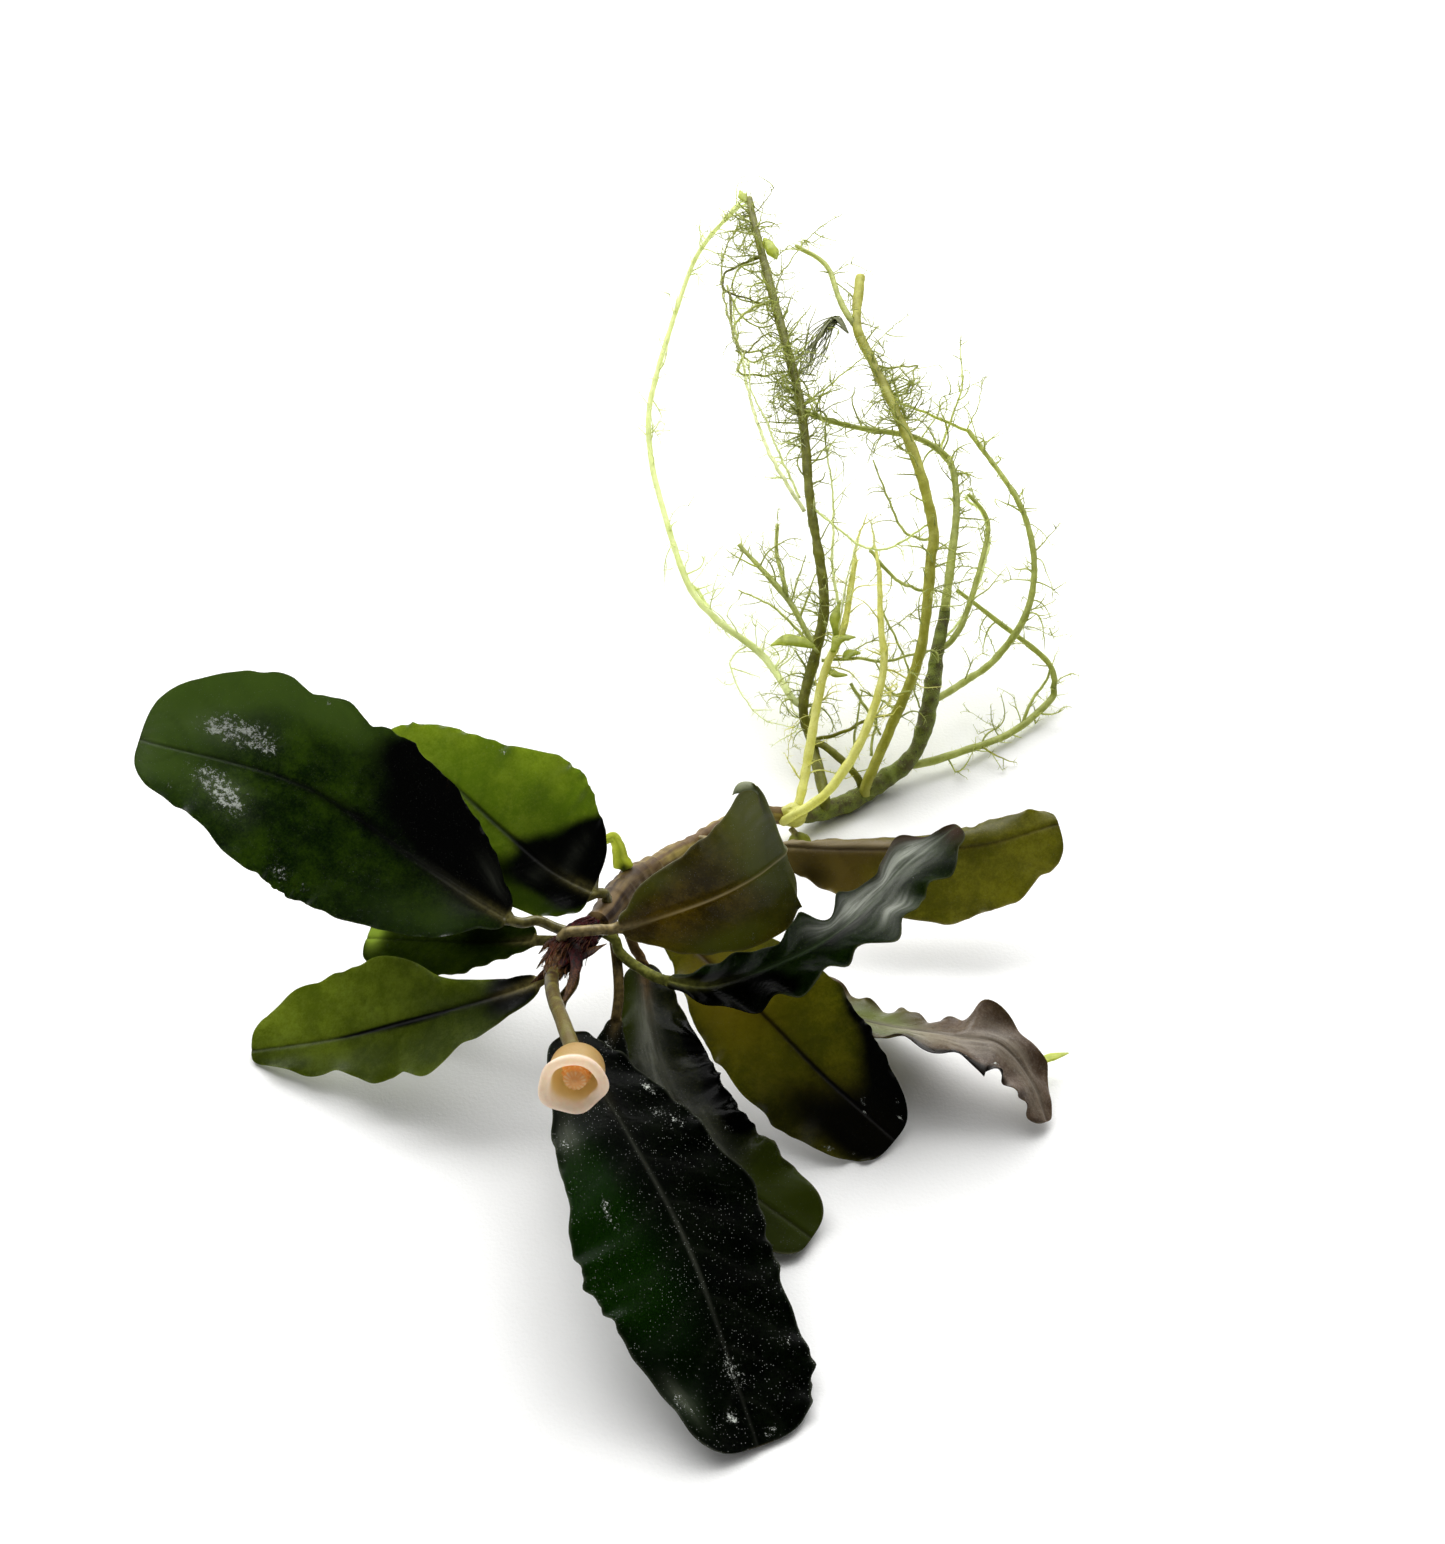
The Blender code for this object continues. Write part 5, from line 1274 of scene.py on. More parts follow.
class Blade:
    """A leaf's rows, from the foot of its stalk to the blade's tip, and the ways across and out of them."""

    def __init__(self, leaf):
        curve = smooth_curve(leaf["stalk"] + leaf["midrib"])
        run = run_along(curve)
        base = run[PER_SPAN * len(leaf["stalk"])]
        length = run[-1] - base
        turn = np.linspace(ROW_TURN[0] * math.pi, ROW_TURN[1] * math.pi, leaf.get("rows", ROWS))
        on_stalk = np.linspace(0, base, max(3, round(base / STALK_STEP)), endpoint=False)
        lengths = np.concatenate((on_stalk, base + length * (1 - np.cos(turn)) / 2))
        self.at = np.clip((lengths - base) / length, 0, 1)
        self.middle = read_curve(curve, lengths)
        ahead = unit(np.gradient(self.middle, lengths, axis=0))
        level = unit(np.cross(ahead, UP))
        above = np.cross(level, ahead)
        usual = (leaf["roll"], *leaf.get("cups", CUPS))
        self.stations = [s + usual[len(s) - 3:] for s in leaf["stations"]]
        roll = np.radians(eased(self.stations, self.at, 3))[:, None]
        self.across = level * np.cos(roll) + above * np.sin(roll)
        self.normal = above * np.cos(roll) - level * np.sin(roll)
        opened = [opening(s[0], leaf["blunt"]) for s in self.stations]
        self.full = [(s[0], s[1] / part, s[2] / part) for s, part in zip(self.stations, opened)]
        self.open_share = opening(self.at, leaf["blunt"])
        self.rib = leaf.get("stalk_radius", STALK_RADIUS) * (1 - RIB_TAPER * self.at)
        self.flat = np.clip(self.open_share * FLATTENS, 0, 1)
        self.folds = leaf.get("folds", (0, 0))

    def bent(self, u, waves):
        """How far a column is from the rib along the sheet, across it and above it, at a place across u."""
        half = 1 if u < 0 else 2
        near = abs(u)
        go_out, go_up, curl_up = waves[half - 1]
        width = self.rib + eased(self.full, self.at, half) * self.open_share
        cup = np.radians(eased(self.stations, self.at, half + 3)) + 1e-4
        fade = self.open_share ** BENDS_FADE
        out = np.sign(u) * (width / cup * np.sin(cup * near) + near ** OUT_POWER * go_out * fade)
        rise = width / cup * (1 - np.cos(cup * near)) + near ** UP_POWER * go_up * fade
        rise = rise + max(0.0, (near - CURLS_FROM) / (1 - CURLS_FROM)) ** 2 * curl_up * fade
        count, height = self.folds
        fold = np.sin(FULL_TURN * count * (self.at - FOLD_LEAN * near) + (0 if u < 0 else FOLD_LATER))
        return near * width, out, rise + height * near ** FOLD_POWER * fold * fade

    def column(self, u, waves):
        """A column's points on the upper and lower face, and how far it is from the rib along the sheet."""
        x, out, rise = self.bent(u, waves)
        round_half = self.rib * math.sqrt(max(0, 1 - 0.98 * u * u))
        sheet_half = THICKNESS / 2 * (1 - THIN_MARGIN * abs(u) ** 6)
        groove = GROOVE[0] * bell(x, GROOVE[1]) - SHOULDER[0] * bell(x, SHOULDER[1])
        ridge = self.rib * RIDGE * bell(x, RIDGE_REACH[0] * self.rib + RIDGE_REACH[1])
        top_half = round_half * (1 - self.flat) + (sheet_half - groove) * self.flat
        low_half = round_half * (1 - self.flat) + (sheet_half + ridge) * self.flat
        sheet = self.middle + self.across * out[:, None] + self.normal * rise[:, None]
        upper = sheet + self.normal * top_half[:, None]
        return upper, sheet - self.normal * low_half[:, None], np.sign(u) * x


def face_values(leaf, s, u, xs, foot, vein, blotch):
    """Numbers for the leaf's material at the points of one face."""
    margin = (1 - np.abs(u)) * (np.abs(xs[:, -1:]) + 0.1)
    rims = spots(leaf.get("rims", ()), s, u) * (1 + RIMS_UNEVEN * blotch)
    rib_reach = leaf.get("rib_width", 1) * (RIB_COLOUR[0] - RIB_COLOUR[1] * s)
    values = {
        "rib": bell(xs, rib_reach) * (1 - foot) * (1 - 0.5 * s),
        "rim": np.clip(bell(margin, RIM_COLOUR) * (1 - foot) + rims, 0, 1),
        "stalk": np.clip(foot + bell(xs, STALK_COLOUR[0]) * bell(s, STALK_COLOUR[1]), 0, 1),
        "vein": vein,
    }
    for key, (kind, uneven) in SPOTS.items():
        painted = spots(leaf.get(kind, ()), s, u) * (1 + uneven * blotch)
        values[key] = sharpened(painted) if key == "shade" else np.clip(painted, 0, 1)
    return values


def make_leaf(name, leaf, seed):
    """A blade on its stalk, made of closed rings that run across one face and back over the other."""
    rng = np.random.default_rng(seed)
    blade = Blade(leaf)
    spread = np.sin(np.linspace(-math.pi / 2, math.pi / 2, leaf.get("columns", COLUMNS)))
    near = [side * place_across for side in (-1, 1) for place_across in NEAR_RIB]
    columns = np.sort(np.concatenate((spread, near, (0.0,))))
    waves = [margin_waves(leaf, blade.at, side, rng) for side in (-1, 1)]
    upper, lower, xs = (np.stack(part, axis=1) for part in zip(*(blade.column(u, waves) for u in columns)))

    s, u, flat = blade.at[:, None], columns[None, :], blade.flat[:, None]
    quilt = QUILT * ripple(rng, 1.6, s * 5, xs / 4) * (1 - np.abs(u) ** 4) * flat
    blotch = ripple(rng, 2.2, s * 5, xs / 4)
    turns = FULL_TURN * (VEINS * s - VEIN_LEAN * np.abs(u) ** VEIN_BEND)
    vein = np.clip(np.sin(turns + np.where(u < 0, *VEIN_SHIFTS)), 0, 1) ** 14 * (1 - np.abs(u) ** 2) * flat
    lift = blade.normal[:, None] * (quilt - VEIN_DEPTH * vein)[:, :, None]
    rings = np.concatenate((upper + lift, (lower + lift)[:, ::-1]), axis=1)

    def both(values):
        values = np.broadcast_to(values, xs.shape)
        return np.concatenate((values, values[:, ::-1]), axis=1)

    values = {"under": np.concatenate((np.zeros_like(xs), np.ones_like(xs)), axis=1)}
    for key, numbers in face_values(leaf, s, u, xs, np.clip(1 - flat, 0, 1), vein, blotch).items():
        values[key] = both(numbers)
    uv = np.stack((both((u + 1) / 2), both(s)), axis=-1).reshape(-1, 2)
    look = LOOKS[leaf["look"]]
    faces = [face[::-1] for face in ring_faces(*rings.shape[:2])]
    finish = leaf_finish(name + "_finish", look)
    mesh_piece("blade_" + name, rings.reshape(-1, 3), faces, finish, values, look["slot"], name, uv)


# Stems and sheath


def moss_finish(f):
    colour = f.mix(f.clouds(0.45, 5.0, 0.7, 0.35, 0.62), (84, 80, 20), (124, 138, 36))
    colour = f.mix(f.clouds(1.8, 4.0, 0.7, 0.52, 0.72), colour, (48, 40, 16))
    colour = f.mix(f.dots(2.0, 0.3, 0.5), colour, (118, 134, 46))
    return f.surface(colour, 0.6, f.bump(f.noise(4.5, 4.0, 0.7), 0.2))


def young_finish(f):
    """Streaks along the stem, brown by the crown and paler by the node, with darker joints."""
    streak = f.span(f.noise(1.0, 3.0, 0.5, f.round_stem(0.7, 1.6)), 0.36, 0.64)
    pale = f.mix(streak, (88, 66, 34), (146, 130, 68))
    brown = f.mix(streak, (42, 27, 15), (106, 84, 48))
    colour = f.mix(f.span(f.value("along"), 0.45, 0.95), pale, brown)
    colour = f.mix(f.times(f.value("tone"), 0.2), colour, (44, 28, 18))
    fine = f.noise(4.5, 4.0, 0.7)
    colour = f.mix(f.times(f.span(fine, 0.6, 0.75), 0.4), colour, (130, 108, 78))
    return f.surface(colour, 0.5, f.bump(fine, 0.06), level=0.2)


def flower_stalk_finish(f):
    colour = f.mix(f.span(f.value("along"), 0.1, 0.9), (46, 32, 16), (88, 74, 34))
    colour = f.mix(f.clouds(0.45, 5.0, 0.7, 0.42, 0.65), colour, (98, 92, 44))
    fine = f.noise(4.5, 4.0, 0.7)
    colour = f.mix(f.times(f.span(fine, 0.58, 0.72), 0.5), colour, (52, 34, 20))
    return f.surface(colour, 0.3, f.bump(fine, 0.06), level=0.15)


STEM_FINISHES = {"moss": moss_finish, "young_stem": young_finish, "flower_stalk": flower_stalk_finish}


def rough_tube(rng, line, radii, step, sides, lumps, joints=()):
    """Rings of a tube with lumps and joints, their places along it, and how near each is to a joint."""
    curve = smooth_curve(line)
    total = run_along(curve)[-1]
    count = max(8, round(total / step))
    path = read_curve(curve, np.linspace(0, total, count))
    at = np.linspace(0, 1, count)
    radius = read_evenly(radii, at)
    _, aside, above = along_frames(path)
    angles = round_angles(sides)
    rough = 0
    for turned, pace in zip((np.cos(angles), np.sin(angles)), LUMPS_ALONG):
        rough = rough + ripple(rng, 1.0, LUMPS_ROUND * turned, at[:, None] * total * pace)
    joint = np.zeros(count)
    for place_along in joints:
        joint += bell((at - place_along) * total, JOINT_REACH)
    size = radius[:, None] * (1 + lumps * rough + JOINT_SWELL * joint[:, None])
    points = path[:, None] + outward(aside, above, angles) * size[:, :, None]
    points[:, :, 2] = np.maximum(points[:, :, 2], LOWEST_SKIN)
    return points, at, joint


def make_stem(name, stem, rng):
    slot, lumps, spacing = STEM_KINDS[stem["look"]]
    total = run_along(smooth_curve(stem["line"]))[-1]
    count = int(total / spacing) if spacing else 0
    joints = [(k + rng.uniform(-0.2, 0.2)) * spacing / total for k in range(count)]
    points, at, joint = rough_tube(rng, stem["line"], stem["radii"], STEM_STEP, STEM_SIDES, lumps, joints)
    around = np.tile(round_angles(STEM_SIDES), len(at))
    values = {
        "along": np.repeat(at, STEM_SIDES),
        "tone": np.repeat(np.clip(joint, 0, 1), STEM_SIDES),
        "length": np.repeat(at, STEM_SIDES) * total,
        "turned": np.cos(around),
        "lifted": np.sin(around),
    }
    f = Finish(stem["look"])
    ring_piece("stem_" + name, points, f.done(STEM_FINISHES[stem["look"]](f)), values, slot, name)


def sheath_finish():
    f = Finish("sheath_wine_streaks")
    streak = f.span(f.noise(2.4, 5.0, 0.75, f.stretched(1.0, 0.3, 0.5)), 0.35, 0.7)
    colour = f.mix(streak, (8, 1, 3), (58, 10, 15))
    colour = f.mix(f.span(f.value("along"), 0.4, 0.9), colour, f.mix(streak, (34, 18, 10), (92, 68, 38)))
    # Paler fibres: painted glints of light on the wet fibres.
    colour = f.mix(f.span(f.value("tone"), 0.5, 1.0, 0.0, 0.2), colour, (136, 84, 62))
    return f.done(f.surface(colour, 0.3, f.bump(f.noise(3.0, 3.0), 0.12), level=0.04))


def flat_blade(bundle, line, widths, thickness, rng, top_tone=1.0):
    """A flattened tube with a wavy margin, added to a bundle. Its tone is at most the given one."""
    path = smooth_curve(line)[::FLAT_EVERY]
    at = np.linspace(0, 1, len(path))
    width = read_evenly(widths, at)
    ahead = unit(np.gradient(path, axis=0))
    level = unit(np.cross(ahead, UP) + 0.2 * UP)
    above = np.cross(level, ahead)
    angles = round_angles(FLAT_SIDES)
    wave = 1 + FLAT_WAVE[0] * np.sin(FLAT_WAVE[1] * at + rng.uniform(0, 6))
    flat = level[:, None] * np.cos(angles)[:, None] * (width * wave)[:, None, None]
    thick = above[:, None] * np.sin(angles)[:, None] * (width * thickness)[:, None, None]
    bundle.add(path[:, None] + flat + thick, at, rng.uniform(0, top_tone))


def add_sleeve(bundle, rng):
    points, at, _ = rough_tube(rng, SHEATH_LINE, SHEATH_RADII, SHEATH_STEP, SHEATH_SIDES, SHEATH_LUMPS)
    centre = points.mean(axis=1, keepdims=True)
    angles = round_angles(SHEATH_SIDES)
    ridges = 0
    for height, count, twist in SHEATH_RIDGES:
        ridges = ridges + height * np.sin(angles * count + twist * at[:, None])
    bundle.add(centre + (points - centre) * (1 + ridges)[:, :, None], at, 0.0)


def add_fibre(bundle, curve, rng):
    """One thin fibre that winds over the sleeve and lifts off it at its end."""
    start = rng.uniform(*FIBRE_STARTS)
    end = start + rng.uniform(*FIBRE_LENGTHS)
    spread = np.linspace(start, min(end, 1.0), FIBRE_POINTS)
    path = read_curve(curve, np.clip(spread, 0, 1) * run_along(curve)[-1])
    _, aside, above = along_frames(path)
    share = np.linspace(0, 1, FIBRE_POINTS)
    angle = rng.uniform(0, FULL_TURN) + rng.uniform(*FIBRE_WINDS) * share
    lift = rng.uniform(*FIBRE_HEIGHTS) + rng.uniform(*FIBRE_LIFTS) * share ** 4
    out = aside * np.cos(angle)[:, None] + above * np.sin(angle)[:, None]
    path = path + out * (read_evenly(FIBRE_REACH, spread) + lift)[:, None]
    width = rng.uniform(*FIBRE_RADII)
    bundle.tube(path, (width, width, width * 0.3), FIBRE_SIDES, rng.uniform(0.1, 1))


def make_sheath(rng):
    """The torn bud scales round the stem's tip: a ridged sleeve with loose scales and fibres over it."""
    bundle = Bundle()
    add_sleeve(bundle, rng)
    for line, widths in BRACTS:
        flat_blade(bundle, line, widths, SCALE_THICKNESS, rng, SCALE_TONE)
    curve = smooth_curve(SHEATH_LINE)
    for _ in range(FIBRE_COUNT):
        add_fibre(bundle, curve, rng)
    bundle.piece("crown_fibres", sheath_finish(), "sheath_wine", "crown_sheath")


# Flower


def flower_axes():
    """The way the cup opens, its right and its top."""
    forward = FLOWER_FACING / np.linalg.norm(FLOWER_FACING)
    right = unit(np.cross(UP, forward))
    return forward, right, np.cross(forward, right)


def profile_read(profile, at):
    """A profile's radius at a place, with its corners rounded."""
    fine = np.linspace(0, 1, 60)
    rough = np.interp(fine, *zip(*profile))
    soft = np.convolve(np.pad(rough, 4, mode="edge"), np.ones(9) / 9, mode="valid")
    return np.interp(at, fine, soft)


def cup_finish():
    """Pale peach that lets light through: dull outside, warm inside and palest at the rim."""
    f = Finish("cup_peach")
    along, inner = f.value("along"), f.value("tone")
    near_rim = f.span(along, 0.8, 0.95)
    streak = f.noise(1.2, 4.0, 0.6)
    outside = f.mix(f.span(along, 0.1, 0.6), (114, 108, 54), (172, 152, 102))
    outside = f.mix(f.span(streak, 0.5, 0.75), outside, (160, 152, 92))
    rim = f.mix(f.span(streak, 0.4, 0.65), (255, 244, 228), (255, 226, 214))
    inside = f.mix(f.span(along, 0.35, 0.95), (255, 204, 134), (255, 240, 206))
    colour = f.mix(near_rim, f.mix(inner, outside, inside), rim)
    solid = f.surface(colour, 0.42, f.bump(f.noise(3.0, 4.0, 0.6), 0.12), soft=0.3, soft_reach=1.6)
    through = f.mix(near_rim, f.mix(inner, (206, 186, 134), (255, 236, 200)), (255, 242, 228))
    return f.done(f.blend(0.55, solid, f.glow(through)))


def make_cup():
    """The spathe, an open cup with one pointed lip: rings up its outside and down its inside."""
    forward, right, top = flower_axes()
    base = FLOWER_RIM - forward * CUP_LENGTH
    angles = round_angles(CUP_SIDES)
    out_ways = outward(right, top, angles)
    pointed = np.clip(np.cos(angles - math.radians(CUP_LIP_DEGREES)), 0, 1) ** LIP_SHARPNESS
    wavy = 0
    for height, count, start in RIM_WAVES:
        wavy = wavy + height * np.sin(count * angles + start)
    up, down = CUP_ROWS
    turn_shares, turn_inner = zip(*RIM_TURNS)
    shares = np.concatenate((np.linspace(0, 1, up), turn_shares, np.linspace(1, CUP_BOTTOM, down)))
    inner = np.concatenate((np.zeros(up), turn_inner, np.ones(down)))
    rings = []
    for share, inside in zip(shares, inner):
        near_rim = np.clip((share - RIM_FROM) / RIM_DEPTH, 0, 1) ** 2
        radius = profile_read(CUP_PROFILE, share) - CUP_WALL * inside * (1 + RIM_THICKER * near_rim)
        out = radius + near_rim * (LIP_SHARES[0] * CUP_LIP * pointed + wavy)
        ahead = share * CUP_LENGTH + near_rim * (LIP_SHARES[1] * CUP_LIP * pointed + wavy)
        rings.append(base + forward * ahead[:, None] + out_ways * out[:, None])
    values = {"along": np.repeat(shares, CUP_SIDES), "tone": np.repeat(inner, CUP_SIDES)}
    ring_piece("spathe", np.array(rings), cup_finish(), values, "flower_cup", "flower_cup")


def spadix_finish():
    f = Finish("spadix_pebbles")
    colour = f.mix(f.value("tone"), (246, 168, 92), (255, 214, 156))
    colour = f.mix(f.clouds(1.5, 3.0, 0.55, 0.4, 0.7), colour, (248, 176, 104))
    return f.done(f.surface(colour, 0.45, f.bump(f.noise(8.0, 2.0), 0.06), soft=0.4))


def make_spadix():
    """The pebbled club in the cup. Each round of pebbles is set off from the last."""
    forward, right, top = flower_axes()
    base = FLOWER_RIM - forward * (CUP_LENGTH - CUP_FLOOR - SPADIX_GAP)
    angles = round_angles(SPADIX_SIDES)
    at = np.linspace(0, 1, SPADIX_ROWS)
    radius = np.interp(at, *zip(*SPADIX_PROFILE)) * SPADIX_RADIUS
    turns = at[:, None] * PEBBLES_ALONG
    pebble = np.abs(np.sin(turns) * np.sin(angles[None, :] * PEBBLES_ROUND + np.floor(turns / math.pi)))
    size = radius[:, None] * (1 + PEBBLE_SIZE * pebble)
    out = outward(right, top, angles)[None] * size[:, :, None]
    points = base + forward * (at * SPADIX_LENGTH)[:, None, None] + out
    ring_piece("spadix_club", points, spadix_finish(), {"tone": pebble.ravel()}, "spadix_orange", "spadix")


# Roots


def root_finish(look):
    _, dark, light, spot = ROOT_KINDS[look]
    f = Finish(look + "_skin")
    tone = f.value("tone")
    colour = f.mix(f.clouds(0.5, 5.0, 0.7, 0.35, 0.65), dark, light)
    colour = f.mix(f.times(tone, 0.35), colour, light)
    colour = f.mix(f.times(f.clouds(2.2, 4.0, 0.7, 0.55, 0.72), 0.7), colour, spot)
    solid = f.surface(colour, 0.5, f.bump(f.noise(5.0, 4.0, 0.7), 0.06))
    bright = [min(255, c * 1.2) for c in light]
    return f.done(f.blend(0.5 if look in CLEAR_ROOTS else 0.42, solid, f.glow(f.mix(tone, light, bright))))


class Tangle:
    """Thin roots and hairs that grow at random inside the box, gathered by their look."""

    def __init__(self, rng):
        self.rng = rng
        low, high = (np.array(corner) / MM + MIDDLE for corner in cad_box)
        spare = (high - low) * PAST_BOX
        self.low, self.high = low - spare, high + spare
        self.low[2] = LOWEST_ROOT
        self.sides = {look: Bundle() for look in ROOT_KINDS}
        self.hairs = {look: Bundle() for look in ROOT_KINDS}

    def wander(self, start, heading, length, turn):
        """A path that starts at a point and bends at random, and turns back at the box."""
        heading = unit(np.asarray(heading, float))
        bend = self.rng.normal(0, turn, 3)
        points = [np.asarray(start, float)]
        for _ in range(max(3, int(length / SIDE_STEP))):
            bend = 0.8 * bend + 0.45 * self.rng.normal(0, turn, 3)
            heading = unit(heading + bend * SIDE_STEP)
            ahead = points[-1] + heading * SIDE_STEP
            leaves = (ahead < self.low) & (heading < 0) | (ahead > self.high) & (heading > 0)
            heading = np.where(leaves, -heading, heading)
            points.append(points[-1] + heading * SIDE_STEP)
        return np.clip(np.array(points), self.low, self.high)

    def sprout(self, look, path, count, lengths, radius, deep=True, part=(0.12, 0.98), way=None):
        """Thin roots that leave a path at random, with their own hairs and, where deep, thinner roots."""
        rng = self.rng
        run = run_along(path)
        ahead, aside, above = along_frames(path)
        for _ in range(count):
            k = int(np.searchsorted(run, rng.uniform(*part) * run[-1]))
            k = min(k, len(path) - 1)
            angle = rng.uniform(0, FULL_TURN)
            out = aside[k] * math.cos(angle) + above[k] * math.sin(angle)
            heading = out + ahead[k] * rng.uniform(0.2, 1.1) + UP * 0.1
            if way is not None:
                heading = 0.7 * heading + np.asarray(way) * rng.uniform(0.5, 1.5)
                heading[2] *= 0.5
            length = rng.uniform(*lengths) * rng.uniform(0.5, 1)
            turn, hairs = FREE_GROWTH if way is None else TANGLE_GROWTH
            side = self.wander(path[k], heading, length, turn)
            thick = radius * rng.uniform(0.5, 1.3)
            radii = [thick * share for share in SIDE_TAPER]
            self.sides[look].tube(side, radii, SIDE_SIDES, rng.uniform(0, 1))
            self.hair_along(look, side, int(length * hairs), SIDE_HAIR)
            if deep and length > BRANCH_LIMIT:
                number, reach, thinner = BRANCHES
                self.sprout(look, side, number, reach, radius * thinner, deep=False)

    def hair_along(self, look, path, count, length):
        """Fine hairs that stand out from a path."""
        rng = self.rng
        ahead = unit(np.gradient(path, axis=0))
        for _ in range(count):
            k = rng.integers(0, len(path))
            out = rng.normal(0, 1, 3)
            out = unit(out - ahead[k] * np.dot(out, ahead[k]) + 0.3 * ahead[k])
            reach = length * rng.uniform(0.4, 1.3)
            tip = path[k] + out * reach + rng.normal(0, 0.15 * reach, 3)
            middle = path[k] + out * reach * 0.5
            line = np.clip(np.array((path[k], middle, tip)), self.low, self.high)
            if np.linalg.norm(line[2] - line[1]) > 0.05:
                self.hairs[look].tube(line, HAIR_RADII, HAIR_SIDES, rng.uniform(0, 1))

    def seen_root(self, look, ends, line):
        """One side root that the photograph shows, with random growth along it."""
        curve = smooth_curve(line)
        total = run_along(curve)[-1]
        lengths = np.linspace(0, total, max(6, round(total / SEEN_STEP)))
        path = read_curve(curve, lengths)
        path = path + SEEN_WAVER * np.column_stack([ripple(self.rng, 1.5, lengths, 0) for _ in range(3)])
        self.sides[look].tube(path, ends, SEEN_SIDES, self.rng.uniform(0, 1))
        look = FINE_LOOK.get(look, look)
        twigs, reach, radius = SEEN_TWIGS
        self.sprout(look, path, int(total * twigs), reach, radius, deep=False)
        hairs, hair = SEEN_HAIRS
        self.hair_along(look, path, int(total * hairs), hair)

    def brush(self):
        first, last = BRUSH_ENDS
        at_top, at_middle, at_tip = BRUSH_SPREADS
        for k in range(BRUSH_COUNT):
            end = first + (last - first) * k / (BRUSH_COUNT - 1)
            bow = 0.5 * (BRUSH_TOP + end) + self.rng.normal(0, at_middle, 3) + UP * BRUSH_LIFT
            top = BRUSH_TOP + self.rng.normal(0, at_top, 3)
            curve = smooth_curve([BRUSH_START, top, bow, end + self.rng.normal(0, at_tip, 3)])
            self.sides["root_brush"].tube(curve[::5], BRUSH_RADII, SIDE_SIDES, self.rng.uniform(0, 1))

    def pieces(self, finishes):
        for look in ROOT_KINDS:
            for kind, bundle in (("side_", self.sides[look]), ("hairs_", self.hairs[look])):
                if bundle.count:
                    bundle.piece(kind + look, finishes[look], ROOT_KINDS[look][0])


def make_roots(rng):
    tangle = Tangle(rng)
    finishes = {look: root_finish(look) for look in ROOT_KINDS}
    paths = {}
    for name, root in ROOTS.items():
        bundle = Bundle()
        points, at, _ = rough_tube(rng, root["line"], root["radii"], ROOT_STEP, ROOT_SIDES, ROOT_LUMPS)
        bundle.add(points, at, ROOT_TONE)
        bundle.piece("skin_" + name, finishes[root["look"]], ROOT_KINDS[root["look"]][0], name)
        paths[name] = points.mean(axis=1)
        look = FINE_LOOK.get(root["look"], root["look"])
        tangle.sprout(look, paths[name], root["side"], SIDE_LENGTHS, SIDE_RADIUS)
        tangle.hair_along(look, paths[name], int(len(points) * ROOT_HAIRS[0]), ROOT_HAIRS[1])
    for look, ends, line in SIDE_ROOTS:
        tangle.seen_root(look, ends, line)
    for name, part, count, lengths, way in TANGLES:
        look = FINE_LOOK.get(ROOTS[name]["look"], ROOTS[name]["look"])
        tangle.sprout(look, paths[name], count, lengths, SIDE_RADIUS, part=part, way=way)
    tangle.brush()
    tangle.pieces(finishes)


def growth_finish(name, dark, light, shine):
    """Soft young growth: its dark and light colours, and the two colours of the light through it."""
    f = Finish(name)
    tone = f.clouds(0.8, 4.0, 0.55, 0.35, 0.65)
    colour = f.mix(f.times(f.value("tone"), 0.4), f.mix(tone, dark, light), light)
    solid = f.surface(colour, 0.4, f.bump(f.noise(4.0, 3.0), 0.04))
    return f.done(f.blend(0.5, solid, f.glow(f.mix(tone, *shine))))


def make_sprouts(rng):
    """Small leaves and buds among the roots and beside a leaf."""
    growth = Bundle()
    for line, widths, thickness in SPROUTS:
        flat_blade(growth, line, widths, thickness, rng)
    shine = ((204, 214, 108), (228, 236, 140))
    finish = growth_finish("young_growth", (146, 156, 58), (188, 196, 84), shine)
    growth.piece("young_growth", finish, "leaflet_lime")


def make_scrap(rng):
    """The curled scrap on the folded leaf's peak."""
    folded = bpy.data.objects["blade_leaf_centre"].data.vertices
    peak = max((v.co for v in folded), key=lambda c: c.z)
    peak = np.array(peak) / MM + MIDDLE
    scrap = Bundle()
    flat_blade(scrap, [tuple(peak + np.array(step)) for step in SCRAP], SCRAP_WIDTHS, SCRAP_THICKNESS, rng)
    shine = ((110, 120, 64), (150, 158, 104))
    finish = growth_finish("scrap_green", (82, 90, 54), (146, 152, 116), shine)
    scrap.piece("leaf_scrap", finish, "leaflet_lime")


def make_node(rng):
    """The swollen joint where the old stem, the young stem and two roots meet."""
    polar = np.linspace(0.02, math.pi - 0.02, NODE_ROWS)[:, None]
    around = round_angles(NODE_SIDES)[None, :]
    coarse = ripple(rng, 1.4, 2 * polar, 2 * np.cos(around))
    fine = ripple(rng, 4, polar, np.sin(around))
    size = NODE_RADIUS * (1 + NODE_LUMPS[0] * coarse + NODE_LUMPS[1] * fine)
    wide = size * np.sin(polar)
    points = np.stack((wide * np.cos(around), wide * np.sin(around), size * np.cos(polar)), axis=-1)
    points = (points * NODE_SHAPE)[::-1] + NODE_AT
    values = {"tone": np.zeros(NODE_ROWS * NODE_SIDES)}
    ring_piece("stem_node", points, root_finish("root_yellow"), values, "root_yellow")


# Stage


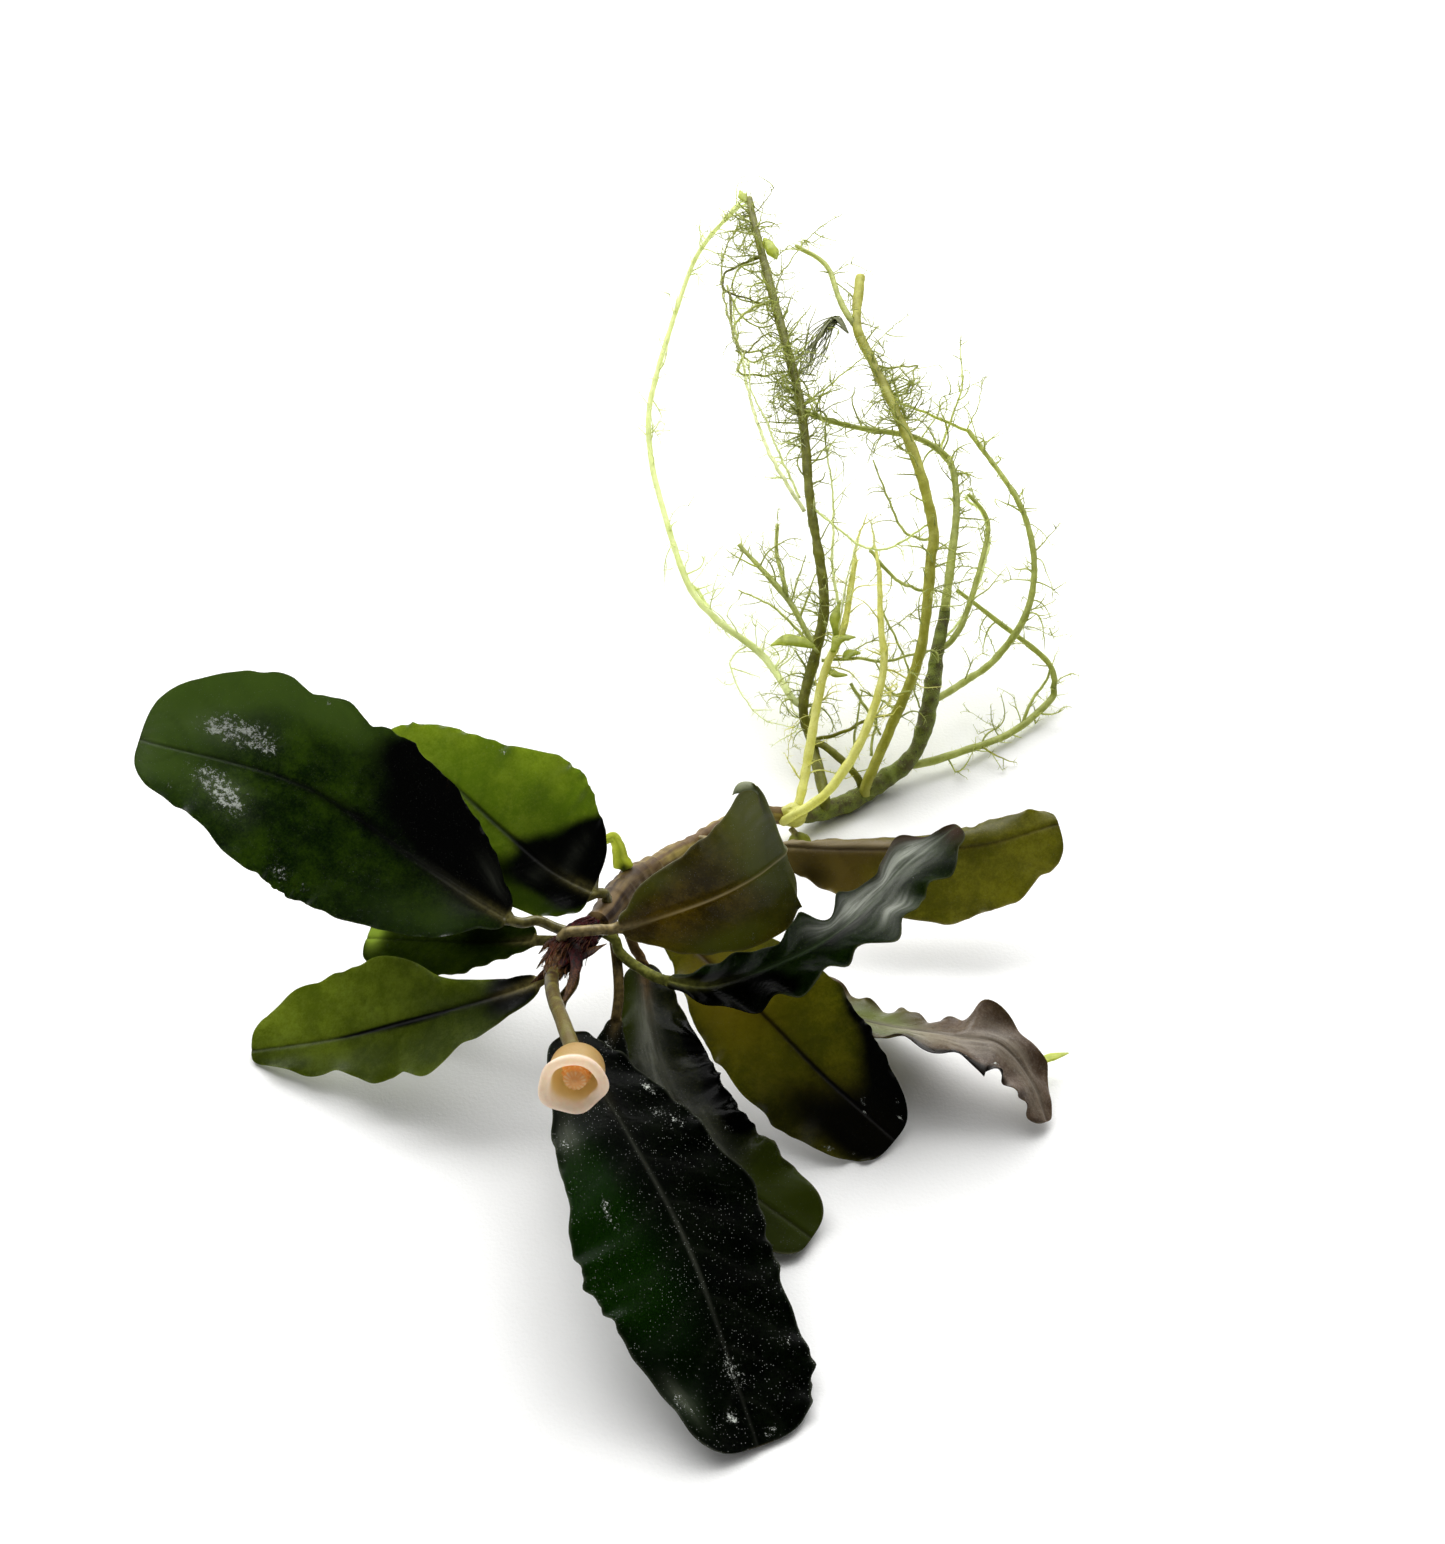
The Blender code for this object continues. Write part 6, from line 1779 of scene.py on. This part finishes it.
def make_camera():
    camera = bpy.data.objects.new("camera", bpy.data.cameras.new("camera"))
    camera.data.lens = LENS
    camera.data.sensor_width = LONG_SIDE
    camera.data.clip_start, camera.data.clip_end = CAMERA_SEES
    camera.location = place(CAMERA_AT)
    camera.rotation_euler = (math.radians(90 - CAMERA_DOWN), 0, 0)
    bpy.context.scene.collection.objects.link(camera)
    bpy.context.scene.camera = camera


def make_light():
    lamp = bpy.data.lights.new("soft_box", "AREA")
    lamp.shape = "RECTANGLE"
    lamp.size, lamp.size_y = LIGHT_SIZE
    lamp.energy = LIGHT_POWER
    box = bpy.data.objects.new("soft_box", lamp)
    way = LIGHT_WAY.normalized()
    box.location = way * LIGHT_DISTANCE
    box.rotation_mode = "QUATERNION"
    box.rotation_quaternion = way.to_track_quat("Z", "Y")
    box.visible_camera = False
    bpy.context.scene.collection.objects.link(box)


def make_room():
    """A room that is bright behind the plant and dark at the camera, which itself sees plain white."""
    world = bpy.data.worlds.new("pale_room")
    world.use_nodes = True
    bpy.context.scene.world = world
    nodes, links = world.node_tree.nodes, world.node_tree.links
    facing = nodes.new("ShaderNodeVectorMath")
    facing.operation = "DOT_PRODUCT"
    facing.inputs[1].default_value = ROOM_WAY.normalized()
    links.new(nodes.new("ShaderNodeTexCoord").outputs["Generated"], facing.inputs[0])
    strength = nodes.new("ShaderNodeMapRange")
    strength.interpolation_type = "SMOOTHSTEP"
    for socket, number in zip(strength.inputs[1:5], (*ROOM_TURNS, ROOM_DARK, ROOM_BRIGHT)):
        socket.default_value = number
    links.new(facing.outputs["Value"], strength.inputs["Value"])
    shown = nodes.new("ShaderNodeMix")
    links.new(nodes.new("ShaderNodeLightPath").outputs["Is Camera Ray"], shown.inputs[0])
    links.new(strength.outputs["Result"], shown.inputs[2])
    shown.inputs[3].default_value = 1.0
    links.new(shown.outputs[0], nodes["Background"].inputs["Strength"])
    nodes["Background"].inputs["Color"].default_value = (1, 1, 1, 1)


def make_floor():
    half = FLOOR_SIZE / 2
    mesh = bpy.data.meshes.new("floor")
    corners = [(-half, -half, 0), (half, -half, 0), (half, half, 0), (-half, half, 0)]
    mesh.from_pydata(corners, [], [(0, 1, 2, 3)])
    f = Finish("white_card")
    colour = f.mix(f.noise(0.02, 3.0), (243, 243, 241), (247, 247, 246))
    mesh.materials.append(f.done(f.surface(colour, 0.7, f.bump(f.noise(2.0, 4.0), 0.05), level=0.2)))
    floor = bpy.data.objects.new("floor", mesh)
    bpy.context.scene.collection.objects.link(floor)
    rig.stage(floor)


def main():
    bpy.context.scene.view_settings.view_transform = "Standard"
    make_camera()
    make_light()
    make_room()
    make_floor()
    for seed, (name, leaf) in enumerate(LEAVES.items(), LEAF_SEEDS):
        make_leaf(name, leaf, seed)
    rng = np.random.default_rng(GROWTH_SEED)
    for name, stem in STEMS.items():
        make_stem(name, stem, rng)
    make_sheath(rng)
    make_cup()
    make_spadix()
    make_roots(rng)
    make_sprouts(rng)
    make_scrap(rng)
    make_node(rng)
    shown_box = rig.bounds()
    with open("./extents.json", "w") as out:
        json.dump({"cad": [list(c) for c in cad_box], "visual": [list(c) for c in shown_box]}, out)


main()
